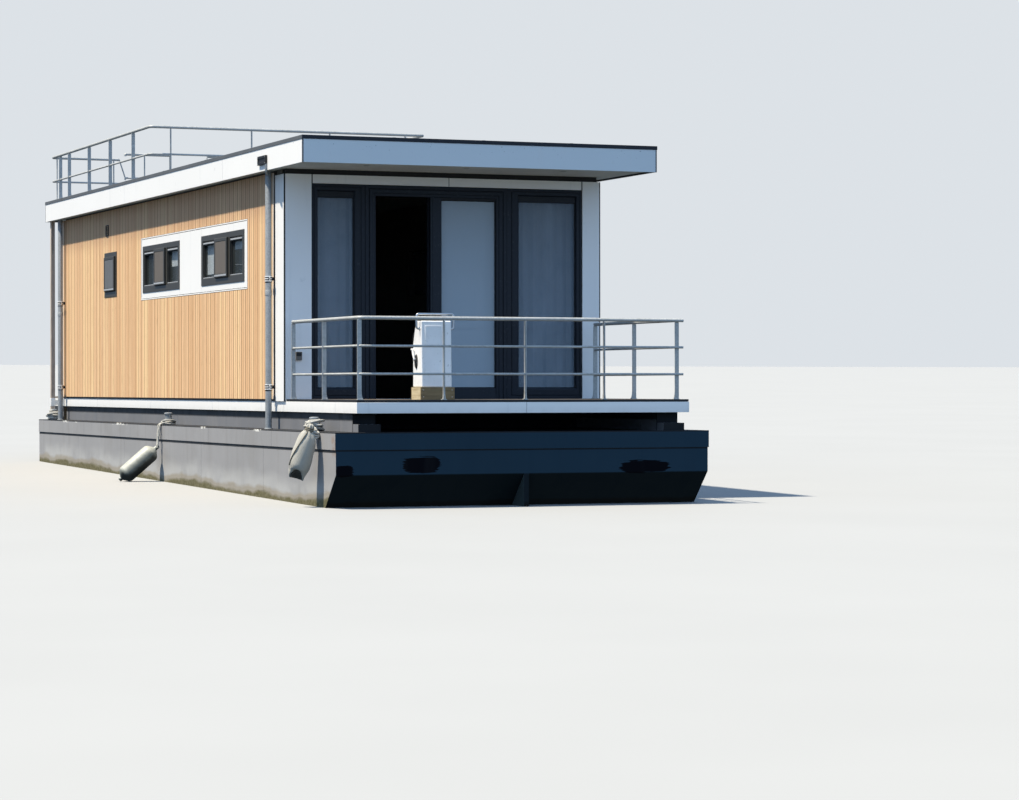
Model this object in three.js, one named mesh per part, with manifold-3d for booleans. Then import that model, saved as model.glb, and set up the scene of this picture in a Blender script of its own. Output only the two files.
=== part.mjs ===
// A steel-pontoon houseboat: flat-bottomed hull with a raked bow, a timber house with a
// glazed front, an open terrace at the bow, a roof terrace, and an outboard motor astern.
// Millimetres. X is to starboard (right), Y runs aft from the bow, Z is up.
// The origin is the middle of the hull's flat bottom.
import * as THREE from "three";
import { mergeVertices } from "three/addons/utils/BufferGeometryUtils.js";
import Module from "manifold-3d";

const wasm = await Module();
wasm.setup();

// Driving dimensions
const GAP = 0.3; // clearance between pieces that touch
const water = 450; // draught at the bow; heights below are given above this waterline

const hull = {
  length: 14550,
  halfWidth: 2250,
  deck: water + 838,
  bandHeight: 193,
  bandProud: 10,
  knuckle: water + 371,
  sternChamfer: 300,
  skegHalf: 30,
};
const bow = -hull.length / 2;
const stern = hull.length / 2;

const coaming = { outer: 1965, inner: 1705, front: 240, rear: 13900, stubFront: 60, stubHeight: 87 };

const deckBand = { half: 2000, low: water + 1046, top: water + 1168, thick: 12, rear: 13900 };
const decking = { thick: 25, board: 143, groove: 7, grooveDepth: 6 };
const terraceFloor = deckBand.top + decking.thick;

const house = {
  half: 2020,
  front: 2580,
  rear: 13900,
  wall: 150,
  top: water + 3838,
  ventRecess: 35,
  soffit: water + 3900,
  cornerLeg: 360,
};
const roof = {
  half: 2200,
  front: 1320,
  rear: 14290,
  fascia: 20,
  fasciaLow: water + 3878,
  fasciaTop: water + 4143,
  deck: water + 4170,
  trimTop: water + 4188,
};
const roofTrim = { proud: 6, width: 90 };
const roofSheets = { count: 10, lap: 60, high: 3 };

// Side windows: distance of their two ends aft of the bow, how many panes, and which one
// of them is an opening sash with a solid panel
const windowLow = water + 2630;
const windowHigh = water + 3270;
const windowFrame = {
  side: 75,
  sill: 95,
  depth: 70,
  mullion: 78,
  proud: 8,
  rebate: 30,
  glassBack: 34,
  glassThick: 24,
  sashProud: 26,
  sashLap: 10,
};
const sideWindows = [
  { name: "front", from: 4200, to: 6120, panes: 3, sash: 1 },
  { name: "middle", from: 7180, to: 9070, panes: 3, sash: 1 },
  { name: "small", from: 10540, to: 11250, panes: 1, sash: 0 },
];
const windowPanel = { from: 4100, to: 9150, low: water + 2555, high: water + 3365, thick: 19.4 };

// Units of the glazed front, left to right, all between the corner panels
const unitTop = water + 3733;
const unitDepth = 90;
const unitSetBack = 15;
const glazing = { thick: 24, lap: 20, back: 35 };
const airSlot = { above: 25, high: 43, deep: 12 };
const glassLow = water + 1325;
const glassTop = water + 3576;
const sideLightLeft = { from: -1680, to: -1009, glassFrom: -1600, glassTo: -1150 };
const sideLightRight = { from: 793, to: 1780, glassFrom: 954, glassTo: 1700 };
const slidingDoor = {
  from: -1009,
  to: 793,
  depth: 150,
  jambLeft: -876,
  mullionFrom: -190,
  mullionTo: -50,
  fixedTo: 652,
  head: water + 3600,
  fixedHead: water + 3574,
  sill: terraceFloor + 2,
  leafWidth: 826,
  setBack: 10,
  paneDepth: 70,
  fixedSill: 130,
  leafBack: 92,
  leafThick: 50,
  leafStile: 70,
  leafRail: 95,
  leafLap: 15,
  leafRebate: 16,
  travelClear: 5,
};
const curtain = { behind: 200, thick: 70, low: 12 };
const curtains = [
  { name: "left", from: -1650, to: -1040 },
  { name: "door", from: -20, to: 740 },
  { name: "right", from: 870, to: 1760 },
];

// Console on the terrace: it is steered from the side that faces the house
const consoleBox = {
  left: -1120,
  right: -760,
  front: 350,
  rear: 640,
  plinth: 138,
  top: water + 2074,
  taper: 22,
  dashDepth: 95,
  dashHeight: 260,
  plinthOut: 15,
  plinthRight: 25,
};
// Stainless hoop over the console, with both ends bent down beside it
const grabRail = { radius: 12, out: 40, above: 76, below: 90, behind: 60 };
const helm = { wheelRadius: 150, rim: 13, hubOut: 78, belowTop: 204 };

// Terrace rails
const rail = {
  top: water + 2094,
  middle: water + 1786,
  low: water + 1479,
  topRadius: 21,
  midRadius: 13.5,
  left: -1965,
  right: 1875,
  frontEnd: 1943,
  front: 45,
  rear: 2415,
};
const post = { broad: 50, thick: 10, foot: 84, footThick: 8 };
const terraceFrontPosts = [-970, 0, 960];
const terraceSidePosts = [1250, 2400];

// Roof rails. The run on the stern is in two lengths of unlike height, the longer one with
// the gap where the ladder arrives; a strut carries the end of the shorter one
const roofRail = {
  top: water + 4870,
  middle: water + 4500,
  topRadius: 21,
  midRadius: 13.5,
  left: -2100,
  right: 1850,
  front: 8400,
  rear: 14240,
  shortTo: -1050,
  longFrom: -955,
  raised: 90,
  strutRadius: 10,
};
const roofFrontPosts = [-1810, -665, 463, 1576];
const roofSidePosts = [9300, 10600, 11860, 13120, 13700];
const roofRearPosts = { short: [-2030, -1138], long: [-647, 1100, 1826] };
const roofGap = { left: -240, right: 360 };

const ladder = {
  left: -160,
  right: 280,
  firstRung: 620,
  rungStep: 280,
  rungRadius: 15,
  stile: 40,
  stileThick: 24,
  aft: 14345,
  reach: 500,
};

const porch = { front: 13915, rear: 14550, post: 60, postX: 2120, postY: 14160, tie: 50 };

const rearDoor = {
  left: 420,
  right: 1300,
  low: terraceFloor + 7,
  high: water + 3250,
  thick: 44,
  margin: 8,
  inside: 5,
  hinge: { radius: 9, length: 100, at: [0.15, 0.5, 0.85] },
};

const pipe = { x: -2092, radius: 38, front: 2975, rear: 13760, belowSoffit: 15 };
// Flat box on the fascia that takes the roof's water, and the spout from it to the front pipe
const outlet = {
  from: 2660,
  to: 2980,
  low: water + 3950,
  high: water + 4055,
  thick: 28,
  spout: 13,
  spoutAt: 2672,
  bend: water + 3858,
};

const bollard = { x: 2150, height: 160, stem: 45, cap: 54, at: [1050, 7270, 13950] };

const motor = {
  setBack: 580,
  pivotZ: water + 670,
  steerAft: 120,
  bracketHalf: 150,
  bracketPlate: 12,
  boardFront: 75,
  boardThick: 40,
  earX: 95,
  earHalf: 12,
  barrel: 28,
  swivelHalf: 70,
  bearing: 52,
  cowlLow: 110,
  cowlHigh: 560,
  cowlHalf: 180,
  cowlFront: -60,
  cowlRear: 430,
  propBelow: 805,
  propRadius: 160,
};

// Materials
const paint = (color, roughness, metalness = 0) =>
  new THREE.MeshStandardMaterial({ color, roughness, metalness });
const material = {
  hullPaint: paint(0x8b9298, 0.55),
  coamingPaint: paint(0x6f777d, 0.6),
  whitePaint: paint(0xf2f4f4, 0.4),
  cladding: paint(0xcfa678, 0.75),
  anthracite: paint(0x2d363d, 0.4),
  glass: new THREE.MeshStandardMaterial({
    color: 0x5f7480,
    roughness: 0.08,
    transparent: true,
    opacity: 0.45,
  }),
  roofing: paint(0x6a7074, 0.8),
  galvanised: paint(0xa4abb0, 0.45, 0.8),
  timber: paint(0x6d5a46, 0.8),
  decking: paint(0x5f564c, 0.85),
  console: paint(0xeef1f2, 0.3),
  rubberGrey: paint(0x868c86, 0.6),
  canvas: paint(0xd8cfba, 0.9),
  curtain: paint(0x9aa4ad, 0.95),
  black: paint(0x1c1e20, 0.5),
  motorPaint: paint(0x2b2e31, 0.35),
  bronze: paint(0xa07c3d, 0.4, 0.9),
};

// Solids. A Manifold joins and cuts; the shapes themselves are three.js geometries.
function solid(geometry) {
  const bare = geometry.clone();
  bare.deleteAttribute("normal");
  bare.deleteAttribute("uv");
  const merged = mergeVertices(bare, 1e-3);
  return new wasm.Manifold(
    new wasm.Mesh({
      numProp: 3,
      vertProperties: merged.attributes.position.array,
      triVerts: new Uint32Array(merged.index.array),
    }),
  );
}

function join(pieces) {
  return pieces.reduce((whole, piece) => whole.add(piece));
}

function cut(whole, pieces) {
  return pieces.reduce((left, piece) => left.subtract(piece), whole);
}

// A box from its low to its high corner
function block([x0, y0, z0], [x1, y1, z1]) {
  const g = new THREE.BoxGeometry(x1 - x0, y1 - y0, z1 - z0);
  g.translate((x0 + x1) / 2, (y0 + y1) / 2, (z0 + z1) / 2);
  return solid(g);
}

// An outline of [y, z] points pushed along X from x0 to x1
function sideProfile(points, x0, x1) {
  const shape = new THREE.Shape(points.map(([y, z]) => new THREE.Vector2(y, z)));
  const g = new THREE.ExtrudeGeometry(shape, { depth: x1 - x0, bevelEnabled: false });
  // shape x,y,depth become Y,Z,X
  const turn = new THREE.Matrix4().makeBasis(
    new THREE.Vector3(0, 1, 0),
    new THREE.Vector3(0, 0, 1),
    new THREE.Vector3(1, 0, 0),
  );
  g.applyMatrix4(turn);
  g.translate(x0, 0, 0);
  return solid(g);
}

// An outline of [x, z] points pushed along Y from y0 to y1
function endProfile(points, y0, y1) {
  const shape = new THREE.Shape(points.map(([x, z]) => new THREE.Vector2(x, z)));
  const g = new THREE.ExtrudeGeometry(shape, { depth: y1 - y0, bevelEnabled: false });
  // shape x,y,depth become X,Z,-Y
  const turn = new THREE.Matrix4().makeBasis(
    new THREE.Vector3(1, 0, 0),
    new THREE.Vector3(0, 0, 1),
    new THREE.Vector3(0, -1, 0),
  );
  g.applyMatrix4(turn);
  g.translate(0, y1, 0);
  return solid(g);
}

// A round bar between two points
function bar(from, to, radius, sides = 10) {
  const a = new THREE.Vector3(...from);
  const b = new THREE.Vector3(...to);
  const g = new THREE.CylinderGeometry(radius, radius, a.distanceTo(b), sides);
  const along = b.clone().sub(a).normalize();
  const turn = new THREE.Quaternion().setFromUnitVectors(new THREE.Vector3(0, 1, 0), along);
  g.applyQuaternion(turn);
  g.translate(...a.add(b).multiplyScalar(0.5).toArray());
  return solid(g);
}

// A turned shape: [radius, distance] points along the line between two points
function turned(points, from, to, sides = 20) {
  const a = new THREE.Vector3(...from);
  const along = new THREE.Vector3(...to).sub(a).normalize();
  const g = new THREE.LatheGeometry(points.map(([r, d]) => new THREE.Vector2(r, d)), sides);
  const turn = new THREE.Quaternion().setFromUnitVectors(new THREE.Vector3(0, 1, 0), along);
  g.applyQuaternion(turn);
  g.translate(...a.toArray());
  return solid(g);
}

// Distances aft of the bow, as the tables give them
const aft = (distance) => bow + distance;
const mirrorX = (shape) => shape.mirror([1, 0, 0]);

const boat = new THREE.Group();

function piece(name, shape, finish) {
  const data = shape.getMesh();
  const g = new THREE.BufferGeometry();
  const positions = new Float32Array(data.numVert * 3);
  for (let i = 0; i < data.numVert; i++) {
    positions.set(data.vertProperties.subarray(i * data.numProp, i * data.numProp + 3), i * 3);
  }
  g.setAttribute("position", new THREE.BufferAttribute(positions, 3));
  g.setIndex(new THREE.BufferAttribute(data.triVerts, 1));
  g.computeVertexNormals();
  const made = new THREE.Mesh(g, finish);
  made.name = name;
  boat.add(made);
  return made;
}

// Hull: plated box with a raked bow, a band round its top edge, a centre gusset and bollards
function makeHull() {
  const inner = hull.halfWidth - hull.bandProud;
  const front = bow + hull.bandProud;
  const back = stern - hull.bandProud;
  const shell = sideProfile(
    [
      [front, hull.deck],
      [front, hull.knuckle],
      [front + hull.knuckle, 0],
      [back - hull.sternChamfer, 0],
      [back, hull.sternChamfer],
      [back, hull.deck],
    ],
    -inner,
    inner,
  );
  const band = block(
    [-hull.halfWidth, bow, hull.deck - hull.bandHeight],
    [hull.halfWidth, stern, hull.deck],
  );
  const skeg = sideProfile(
    [
      [front, hull.knuckle + 1],
      [front, 0],
      [front + hull.knuckle + 1, 0],
    ],
    -hull.skegHalf,
    hull.skegHalf,
  );
  const bollards = [];
  for (const side of [-1, 1]) {
    for (const distance of bollard.at) {
      const foot = [side * bollard.x, aft(distance), hull.deck - 5];
      const profile = [
        [0, 0],
        [bollard.stem, 0],
        [bollard.stem, bollard.height - 23],
        [bollard.cap, bollard.height - 15],
        [bollard.cap, bollard.height + 2],
        [0, bollard.height + 5],
      ];
      bollards.push(turned(profile, foot, [foot[0], foot[1], foot[2] + 1], 12));
    }
  }
  return join([shell, band, skeg, ...bollards]);
}

// Steel box beams that carry the house, with a low stub at their forward end
function makeCoaming() {
  const beam = block(
    [-coaming.outer, aft(coaming.front), hull.deck + GAP],
    [-coaming.inner, aft(coaming.rear), deckBand.low],
  );
  const stub = block(
    [-coaming.outer, aft(coaming.stubFront), hull.deck + GAP],
    [-coaming.inner, aft(coaming.front) + 1, hull.deck + coaming.stubHeight],
  );
  return join([beam, stub]);
}

// Floor of the house and terrace, with a cross beam below it under each end wall
function makeFloor() {
  const half = deckBand.half - deckBand.thick - GAP;
  const slab = block(
    [-half, aft(deckBand.thick + GAP), deckBand.low + GAP],
    [half, aft(house.rear), deckBand.top],
  );
  const beams = [house.front, house.rear - house.wall].map((at) =>
    block(
      [-coaming.inner + GAP, aft(at), hull.deck + GAP],
      [coaming.inner - GAP, aft(at + house.wall), deckBand.low + 1],
    ),
  );
  return join([slab, ...beams]);
}

// White boards round the edge of the floor
function makeDeckBand() {
  const outer = block([-deckBand.half, bow, deckBand.low], [deckBand.half, aft(deckBand.rear), deckBand.top]);
  const inner = deckBand.half - deckBand.thick;
  return cut(outer, [
    block([-inner, aft(deckBand.thick), deckBand.low - 1], [inner, stern, deckBand.top + 1]),
  ]);
}

// Deck boards that run across, as one body with the joints cut in from above
function makeDecking(front, rear, half, low) {
  const top = low + decking.thick;
  const points = [[front, low + GAP]];
  points.push([rear, low + GAP], [rear, top]);
  const count = Math.floor((rear - front) / decking.board);
  const step = (rear - front) / count;
  for (let i = count - 1; i > 0; i--) {
    const joint = front + i * step;
    const side = decking.groove / 2;
    points.push([joint + side, top], [joint + side, top - decking.grooveDepth]);
    points.push([joint - side, top - decking.grooveDepth], [joint - side, top]);
  }
  points.push([front, top]);
  return sideProfile(points, -half, half);
}

// One long wall, as thick as the whole wall, with its windows cut and a bed for the panel
function makeSideWall() {
  const outer = -house.half;
  const inner = outer + house.wall;
  const recess = outer + house.ventRecess;
  const low = deckBand.top + GAP;
  const wall = endProfile(
    [
      [inner, low],
      [inner, house.soffit - GAP],
      [recess, house.soffit - GAP],
      [recess, house.top],
      [outer, house.top],
      [outer, low],
    ],
    aft(house.front + house.cornerLeg + GAP),
    aft(house.rear),
  );
  const holes = sideWindows.map((w) =>
    block([outer - 1, aft(w.from) - GAP, windowLow - GAP], [inner + 1, aft(w.to) + GAP, windowHigh + GAP]),
  );
  const bed = block(
    [outer - 1, aft(windowPanel.from) - GAP, windowPanel.low - GAP],
    [outer + windowPanel.thick + GAP, aft(windowPanel.to) + GAP, windowPanel.high + GAP],
  );
  return cut(wall, [...holes, bed]);
}

// White panel that frames the two long windows
function makeWindowPanel() {
  const outer = -house.half;
  const panel = block(
    [outer, aft(windowPanel.from), windowPanel.low],
    [outer + windowPanel.thick, aft(windowPanel.to), windowPanel.high],
  );
  const holes = sideWindows
    .filter((w) => w.panes > 1)
    .map((w) =>
      block([outer - 1, aft(w.from) - GAP, windowLow - GAP], [outer + 99, aft(w.to) + GAP, windowHigh + GAP]),
    );
  return cut(panel, holes);
}

// Frame of one side window: upright bars between its panes, a rebate behind them for the
// glass, and the solid panel of the sash, which stands proud of the frame
function makeWindowFrame(w) {
  const f = windowFrame;
  const outer = -house.half - f.proud;
  const inner = outer + f.depth;
  const low = windowLow + f.sill;
  const high = windowHigh - f.side;
  const paneSpan = (w.to - w.from - 2 * f.side - (w.panes - 1) * f.mullion) / w.panes;
  const pane = (i) => aft(w.from + f.side + i * (paneSpan + f.mullion));
  const frame = block([outer, aft(w.from), windowLow], [inner, aft(w.to), windowHigh]);
  const holes = [];
  for (let i = 0; i < w.panes; i++) {
    holes.push(block([outer - 1, pane(i), low], [inner + 1, pane(i) + paneSpan, high]));
  }
  const rebate = block(
    [outer + f.glassBack, aft(w.from) + f.rebate, windowLow + f.rebate],
    [inner + 1, aft(w.to) - f.rebate, windowHigh - f.rebate],
  );
  const sash = block(
    [outer - f.sashProud, pane(w.sash) - f.sashLap, low - f.sashLap],
    [outer + f.glassBack, pane(w.sash) + paneSpan + f.sashLap, high + f.sashLap],
  );
  return cut(frame, [...holes, rebate]).add(sash);
}

// Glass of one side window: it lies in the rebate behind the bars
function makeWindowGlass(w) {
  const f = windowFrame;
  const outer = -house.half - f.proud + f.glassBack + GAP;
  const edge = f.rebate + GAP;
  return block(
    [outer, aft(w.from) + edge, windowLow + edge],
    [outer + f.glassThick, aft(w.to) - edge, windowHigh - edge],
  );
}

// White corner panels of the front with their return along the side, and the strip above
function makeFrontSurround() {
  const low = deckBand.top + GAP;
  const front = aft(house.front);
  const corner = (side) => {
    const a = side * house.half;
    const legInner = side * (house.half - house.wall);
    const face = side < 0 ? sideLightLeft.from - GAP : sideLightRight.to + GAP;
    const across = block([Math.min(a, face), front, low], [Math.max(a, face), front + house.wall, house.top]);
    const along = block(
      [Math.min(a, legInner), front, low],
      [Math.max(a, legInner), front + house.cornerLeg, house.top],
    );
    return join([across, along]);
  };
  const header = block(
    [-house.half, front, unitTop + GAP],
    [house.half, front + house.wall, house.top],
  );
  const recessed = block(
    [-house.half + house.ventRecess, front + house.ventRecess, house.top - 1],
    [house.half - house.ventRecess, front + house.wall, house.soffit - GAP],
  );
  return join([corner(-1), corner(1), header, recessed]);
}

// A fixed light of the front: frame with a rebate for its glass, and an air slot above it
function makeSideLight(light) {
  const front = aft(house.front) + unitSetBack;
  const back = front + unitDepth;
  const low = deckBand.top + GAP;
  const frame = block([light.from, front, low], [light.to - GAP, back, unitTop]);
  const hole = block([light.glassFrom, front - 1, glassLow], [light.glassTo, back + 1, glassTop]);
  const rebate = block(
    [light.glassFrom - glazing.lap, front + glazing.back, glassLow - glazing.lap],
    [light.glassTo + glazing.lap, back + 1, glassTop + glazing.lap],
  );
  const slotLow = glassTop + airSlot.above;
  const slot = block(
    [light.glassFrom, front - 1, slotLow],
    [light.glassTo, front + airSlot.deep, slotLow + airSlot.high],
  );
  return cut(frame, [hole, rebate, slot]);
}

function makeSideGlass(light) {
  const front = aft(house.front) + unitSetBack + glazing.back + GAP;
  const edge = glazing.lap - GAP;
  return block(
    [light.glassFrom - edge, front, glassLow - edge],
    [light.glassTo + edge, front + glazing.thick, glassTop + edge],
  );
}

// Frame of the sliding door: open way on the left, fixed pane on the right, track behind
function makeDoorFrame() {
  const d = slidingDoor;
  const front = aft(house.front) + d.setBack;
  const back = front + d.depth;
  const fixedBack = front + d.paneDepth;
  const fixedLow = d.sill + d.fixedSill;
  const whole = block([d.from, front, deckBand.top + GAP], [d.to - GAP, back, unitTop]);
  const way = block([d.jambLeft, front - 1, d.sill], [d.mullionFrom, back + 1, d.head]);
  const track = block([d.jambLeft, fixedBack, d.sill], [d.fixedTo, back + 1, d.head]);
  const pane = block([d.mullionTo, front - 1, fixedLow], [d.fixedTo, fixedBack + 1, d.fixedHead]);
  const rebate = block(
    [d.mullionTo - glazing.lap, front + glazing.back, fixedLow - glazing.lap],
    [d.fixedTo + glazing.lap, fixedBack + 1, d.fixedHead + glazing.lap],
  );
  return cut(whole, [way, track, pane, rebate]);
}

function makeDoorFixedGlass() {
  const d = slidingDoor;
  const front = aft(house.front) + d.setBack + glazing.back + GAP;
  const edge = glazing.lap - GAP;
  return block(
    [d.mullionTo - edge, front, d.sill + d.fixedSill - edge],
    [d.fixedTo + edge, front + glazing.thick, d.fixedHead + edge],
  );
}

// The sliding leaf, open behind the fixed pane
function makeDoorLeaf() {
  const d = slidingDoor;
  const front = aft(house.front) + d.leafBack;
  const back = front + d.leafThick;
  const left = d.mullionFrom;
  const right = left + d.leafWidth;
  const low = d.sill + d.travelClear;
  const high = d.head - d.travelClear;
  const leaf = block([left, front, low], [right, back, high]);
  const hole = block(
    [left + d.leafStile, front - 1, low + d.leafRail],
    [right - d.leafStile, back + 1, high - d.leafRail],
  );
  const stile = d.leafStile - d.leafLap;
  const edge = d.leafRail - d.leafLap;
  const rebate = block([left + stile, front + d.leafRebate, low + edge], [right - stile, back + 1, high - edge]);
  return cut(leaf, [hole, rebate]);
}

function makeDoorLeafGlass() {
  const d = slidingDoor;
  const front = aft(house.front) + d.leafBack + d.leafRebate + GAP;
  const stile = d.leafStile - d.leafLap + GAP;
  const edge = d.travelClear + d.leafRail - d.leafLap + GAP;
  const left = d.mullionFrom;
  return block(
    [left + stile, front, d.sill + edge],
    [left + d.leafWidth - stile, front + glazing.thick, d.head - edge],
  );
}

// Stern wall between the side walls, with the way for its door
function makeRearWall() {
  const half = house.half - house.wall - GAP;
  const front = aft(house.rear - house.wall);
  const wall = block([-half, front, deckBand.top + GAP], [half, aft(house.rear), house.soffit - GAP]);
  const way = block(
    [rearDoor.left - rearDoor.margin, front - 1, rearDoor.low - 6],
    [rearDoor.right + rearDoor.margin, aft(house.rear) + 1, rearDoor.high + rearDoor.margin],
  );
  return cut(wall, [way]);
}

// The stern door opens inwards on hinges at the inside face of the wall
function makeRearDoor() {
  const d = rearDoor;
  const inside = aft(house.rear - house.wall) - d.inside;
  const leaf = block([d.left, inside, d.low], [d.right, inside + d.thick, d.high]);
  const hinges = d.hinge.at.map((share) => {
    const middle = d.low + share * (d.high - d.low);
    const reach = d.hinge.length / 2;
    const y = inside - d.inside;
    return bar([d.right, y, middle - reach], [d.right, y, middle + reach], d.hinge.radius);
  });
  return join([leaf, ...hinges]);
}

// Roof slab with its edge trim and the laps of its roofing sheets; the fascia boards hang
// below the trim and a little below the soffit
function makeRoof() {
  const inset = roof.half - roof.fascia - GAP;
  const slab = block(
    [-inset, aft(roof.front + roof.fascia) + GAP, house.soffit],
    [inset, aft(roof.rear - roof.fascia) - GAP, roof.deck],
  );
  const outer = roof.half + roofTrim.proud;
  const trimLow = roof.fasciaTop + GAP;
  const ring = cut(
    block(
      [-outer, aft(roof.front) - roofTrim.proud, trimLow],
      [outer, aft(roof.rear) + roofTrim.proud, roof.trimTop],
    ),
    [
      block(
        [-outer + roofTrim.width, aft(roof.front) + roofTrim.width, trimLow - 1],
        [outer - roofTrim.width, aft(roof.rear) - roofTrim.width, roof.trimTop + 1],
      ),
    ],
  );
  const sheetsFrom = roof.front + roofTrim.width;
  const sheet = (roof.rear - roofTrim.width - sheetsFrom) / roofSheets.count;
  const laps = [];
  for (let i = 1; i < roofSheets.count; i++) {
    const middle = aft(sheetsFrom + i * sheet);
    laps.push(
      block(
        [-inset, middle - roofSheets.lap / 2, roof.deck - 1],
        [inset, middle + roofSheets.lap / 2, roof.deck + roofSheets.high],
      ),
    );
  }
  return join([slab, ring, ...laps]);
}

function makeFascia() {
  const inner = roof.half - roof.fascia;
  const outer = block([-roof.half, aft(roof.front), roof.fasciaLow], [roof.half, aft(roof.rear), roof.fasciaTop]);
  return cut(outer, [
    block(
      [-inner, aft(roof.front + roof.fascia), roof.fasciaLow - 1],
      [inner, aft(roof.rear - roof.fascia), roof.fasciaTop + 1],
    ),
  ]);
}

// A flat-bar post with its plate across the run, on a foot plate
function makePost(x, distance, low, high, across) {
  const y = aft(distance);
  const half = post.broad / 2;
  const thin = post.thick / 2;
  const foot = post.foot / 2;
  const [dx, dy] = across === "x" ? [half, thin] : [thin, half];
  const [fx, fy] = across === "x" ? [foot, half * 0.8] : [half * 0.8, foot];
  return join([
    block([x - dx, y - dy, low], [x + dx, y + dy, high]),
    block([x - fx, y - fy, low], [x + fx, y + fy, low + post.footThick]),
  ]);
}

// Railing of the terrace: two side runs and the run across the bow
function makeTerraceRailing() {
  const low = terraceFloor + GAP;
  const front = aft(rail.front);
  const rows = [
    { z: rail.top, radius: rail.topRadius },
    { z: rail.middle, radius: rail.midRadius },
    { z: rail.low, radius: rail.midRadius },
  ];
  const parts = [];
  for (const { z, radius } of rows) {
    parts.push(bar([rail.left - radius, front, z], [rail.frontEnd, front, z], radius));
    for (const x of [rail.left, rail.right]) {
      parts.push(bar([x, front, z], [x, aft(rail.rear), z], radius));
    }
  }
  for (const x of terraceFrontPosts) {
    parts.push(makePost(x, rail.front, low, rail.top, "y"));
  }
  for (const x of [rail.left, rail.right]) {
    for (const distance of [rail.front, ...terraceSidePosts]) {
      parts.push(makePost(x, distance, low, rail.top, "x"));
    }
  }
  return join(parts);
}

// Railing of the roof terrace
function makeRoofRailing() {
  const r = roofRail;
  const onTrim = roof.trimTop + GAP;
  const onRoof = roof.deck + GAP;
  const front = aft(r.front);
  const rear = aft(r.rear);
  const rows = [
    { z: r.top, radius: r.topRadius },
    { z: r.middle, radius: r.midRadius },
  ];
  const parts = [];
  for (const { z, radius } of rows) {
    const raised = z + r.raised;
    parts.push(
      bar([r.left - radius, front, z], [r.right + radius, front, z], radius),
      bar([r.left, front, z], [r.left, rear + radius, z], radius),
      bar([r.right, front, z], [r.right, rear + radius, z], radius),
      bar([r.left, rear, z], [r.shortTo, rear, z], radius),
      bar([r.longFrom, rear, raised], [roofGap.left, rear, raised], radius),
      bar([roofGap.right, rear, raised], [r.right + radius, rear, raised], radius),
    );
  }
  for (const distance of roofSidePosts) {
    parts.push(makePost(r.left, distance, onTrim, r.top, "x"));
    parts.push(makePost(r.right, distance, onRoof, r.top, "x"));
  }
  for (const x of roofFrontPosts) {
    parts.push(makePost(x, r.front, onRoof, r.top, "y"));
  }
  for (const x of roofRearPosts.short) {
    parts.push(makePost(x, r.rear, onTrim, r.top, "y"));
  }
  for (const x of [...roofRearPosts.long, roofGap.left, roofGap.right]) {
    parts.push(makePost(x, r.rear, onTrim, r.top + r.raised, "y"));
  }
  parts.push(bar([r.shortTo, rear, r.top], [r.longFrom, rear, r.middle + r.raised], r.strutRadius));
  return join(parts);
}

// Fixed ladder from the stern landing to the roof
function makeLadder() {
  const y = aft(ladder.aft);
  const halfStile = ladder.stile / 2;
  const halfThick = ladder.stileThick / 2;
  const parts = [ladder.left, ladder.right].map((x) =>
    block(
      [x - halfThick, y - halfStile, terraceFloor + GAP],
      [x + halfThick, y + halfStile, roof.trimTop + ladder.reach],
    ),
  );
  for (let z = hull.deck + ladder.firstRung; z < roof.trimTop; z += ladder.rungStep) {
    parts.push(bar([ladder.left, y, z], [ladder.right, y, z], ladder.rungRadius, 8));
  }
  return join(parts);
}

// Landing astern with the two slim posts that carry the roof's corners
function makePorch() {
  const half = porch.post / 2;
  const y = aft(porch.postY);
  const boards = makeDecking(aft(porch.front), aft(porch.rear), deckBand.half, deckBand.top);
  const carrier = block(
    [-deckBand.half, aft(porch.front), hull.deck + GAP],
    [deckBand.half, aft(porch.rear) - 20, deckBand.top + 1],
  );
  const posts = [-porch.postX, porch.postX].map((x) =>
    block([x - half, y - half, hull.deck + GAP], [x + half, y + half, house.soffit - GAP]),
  );
  const tie = block(
    [-porch.postX, y - porch.tie / 2, deckBand.low],
    [porch.postX, y + porch.tie / 2, deckBand.top + 2],
  );
  return join([boards, carrier, tie, ...posts]);
}

// Rainwater pipe outside the wall, from the hull's deck to just under the soffit
function makeDownpipe(distance) {
  const y = aft(distance);
  return bar([pipe.x, y, hull.deck + 2], [pipe.x, y, house.soffit - pipe.belowSoffit], pipe.radius, 14);
}

// The front pipe has the outlet box on the fascia, with its spout down and in to the pipe
function makeFrontDownpipe() {
  const face = -roof.half - GAP;
  const x = face - outlet.spout;
  const y = aft(outlet.spoutAt);
  const box = block([face - outlet.thick, aft(outlet.from), outlet.low], [face, aft(outlet.to), outlet.high]);
  const drop = bar([x, y, outlet.low + 5], [x, y, outlet.bend], outlet.spout);
  const link = bar([x, y - 5, outlet.bend + 4], [pipe.x, aft(pipe.front), outlet.bend - 12], outlet.spout);
  return join([makeDownpipe(pipe.front), box, drop, link]);
}

// A fender: a cylinder with rounded ends and an eye, from its upper to its lower end
function makeFender(top, bottom, radius) {
  const length = new THREE.Vector3(...bottom).sub(new THREE.Vector3(...top)).length();
  const points = [
    [0, 0],
    [radius * 0.28, 0],
    [radius * 0.34, radius * 0.28],
    [radius * 0.8, radius * 0.5],
    [radius, radius * 0.95],
    [radius, length - radius * 0.95],
    [radius * 0.8, length - radius * 0.5],
    [radius * 0.34, length - radius * 0.28],
    [radius * 0.28, length],
    [0, length],
  ];
  return turned(points, top, bottom, 18);
}

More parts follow.
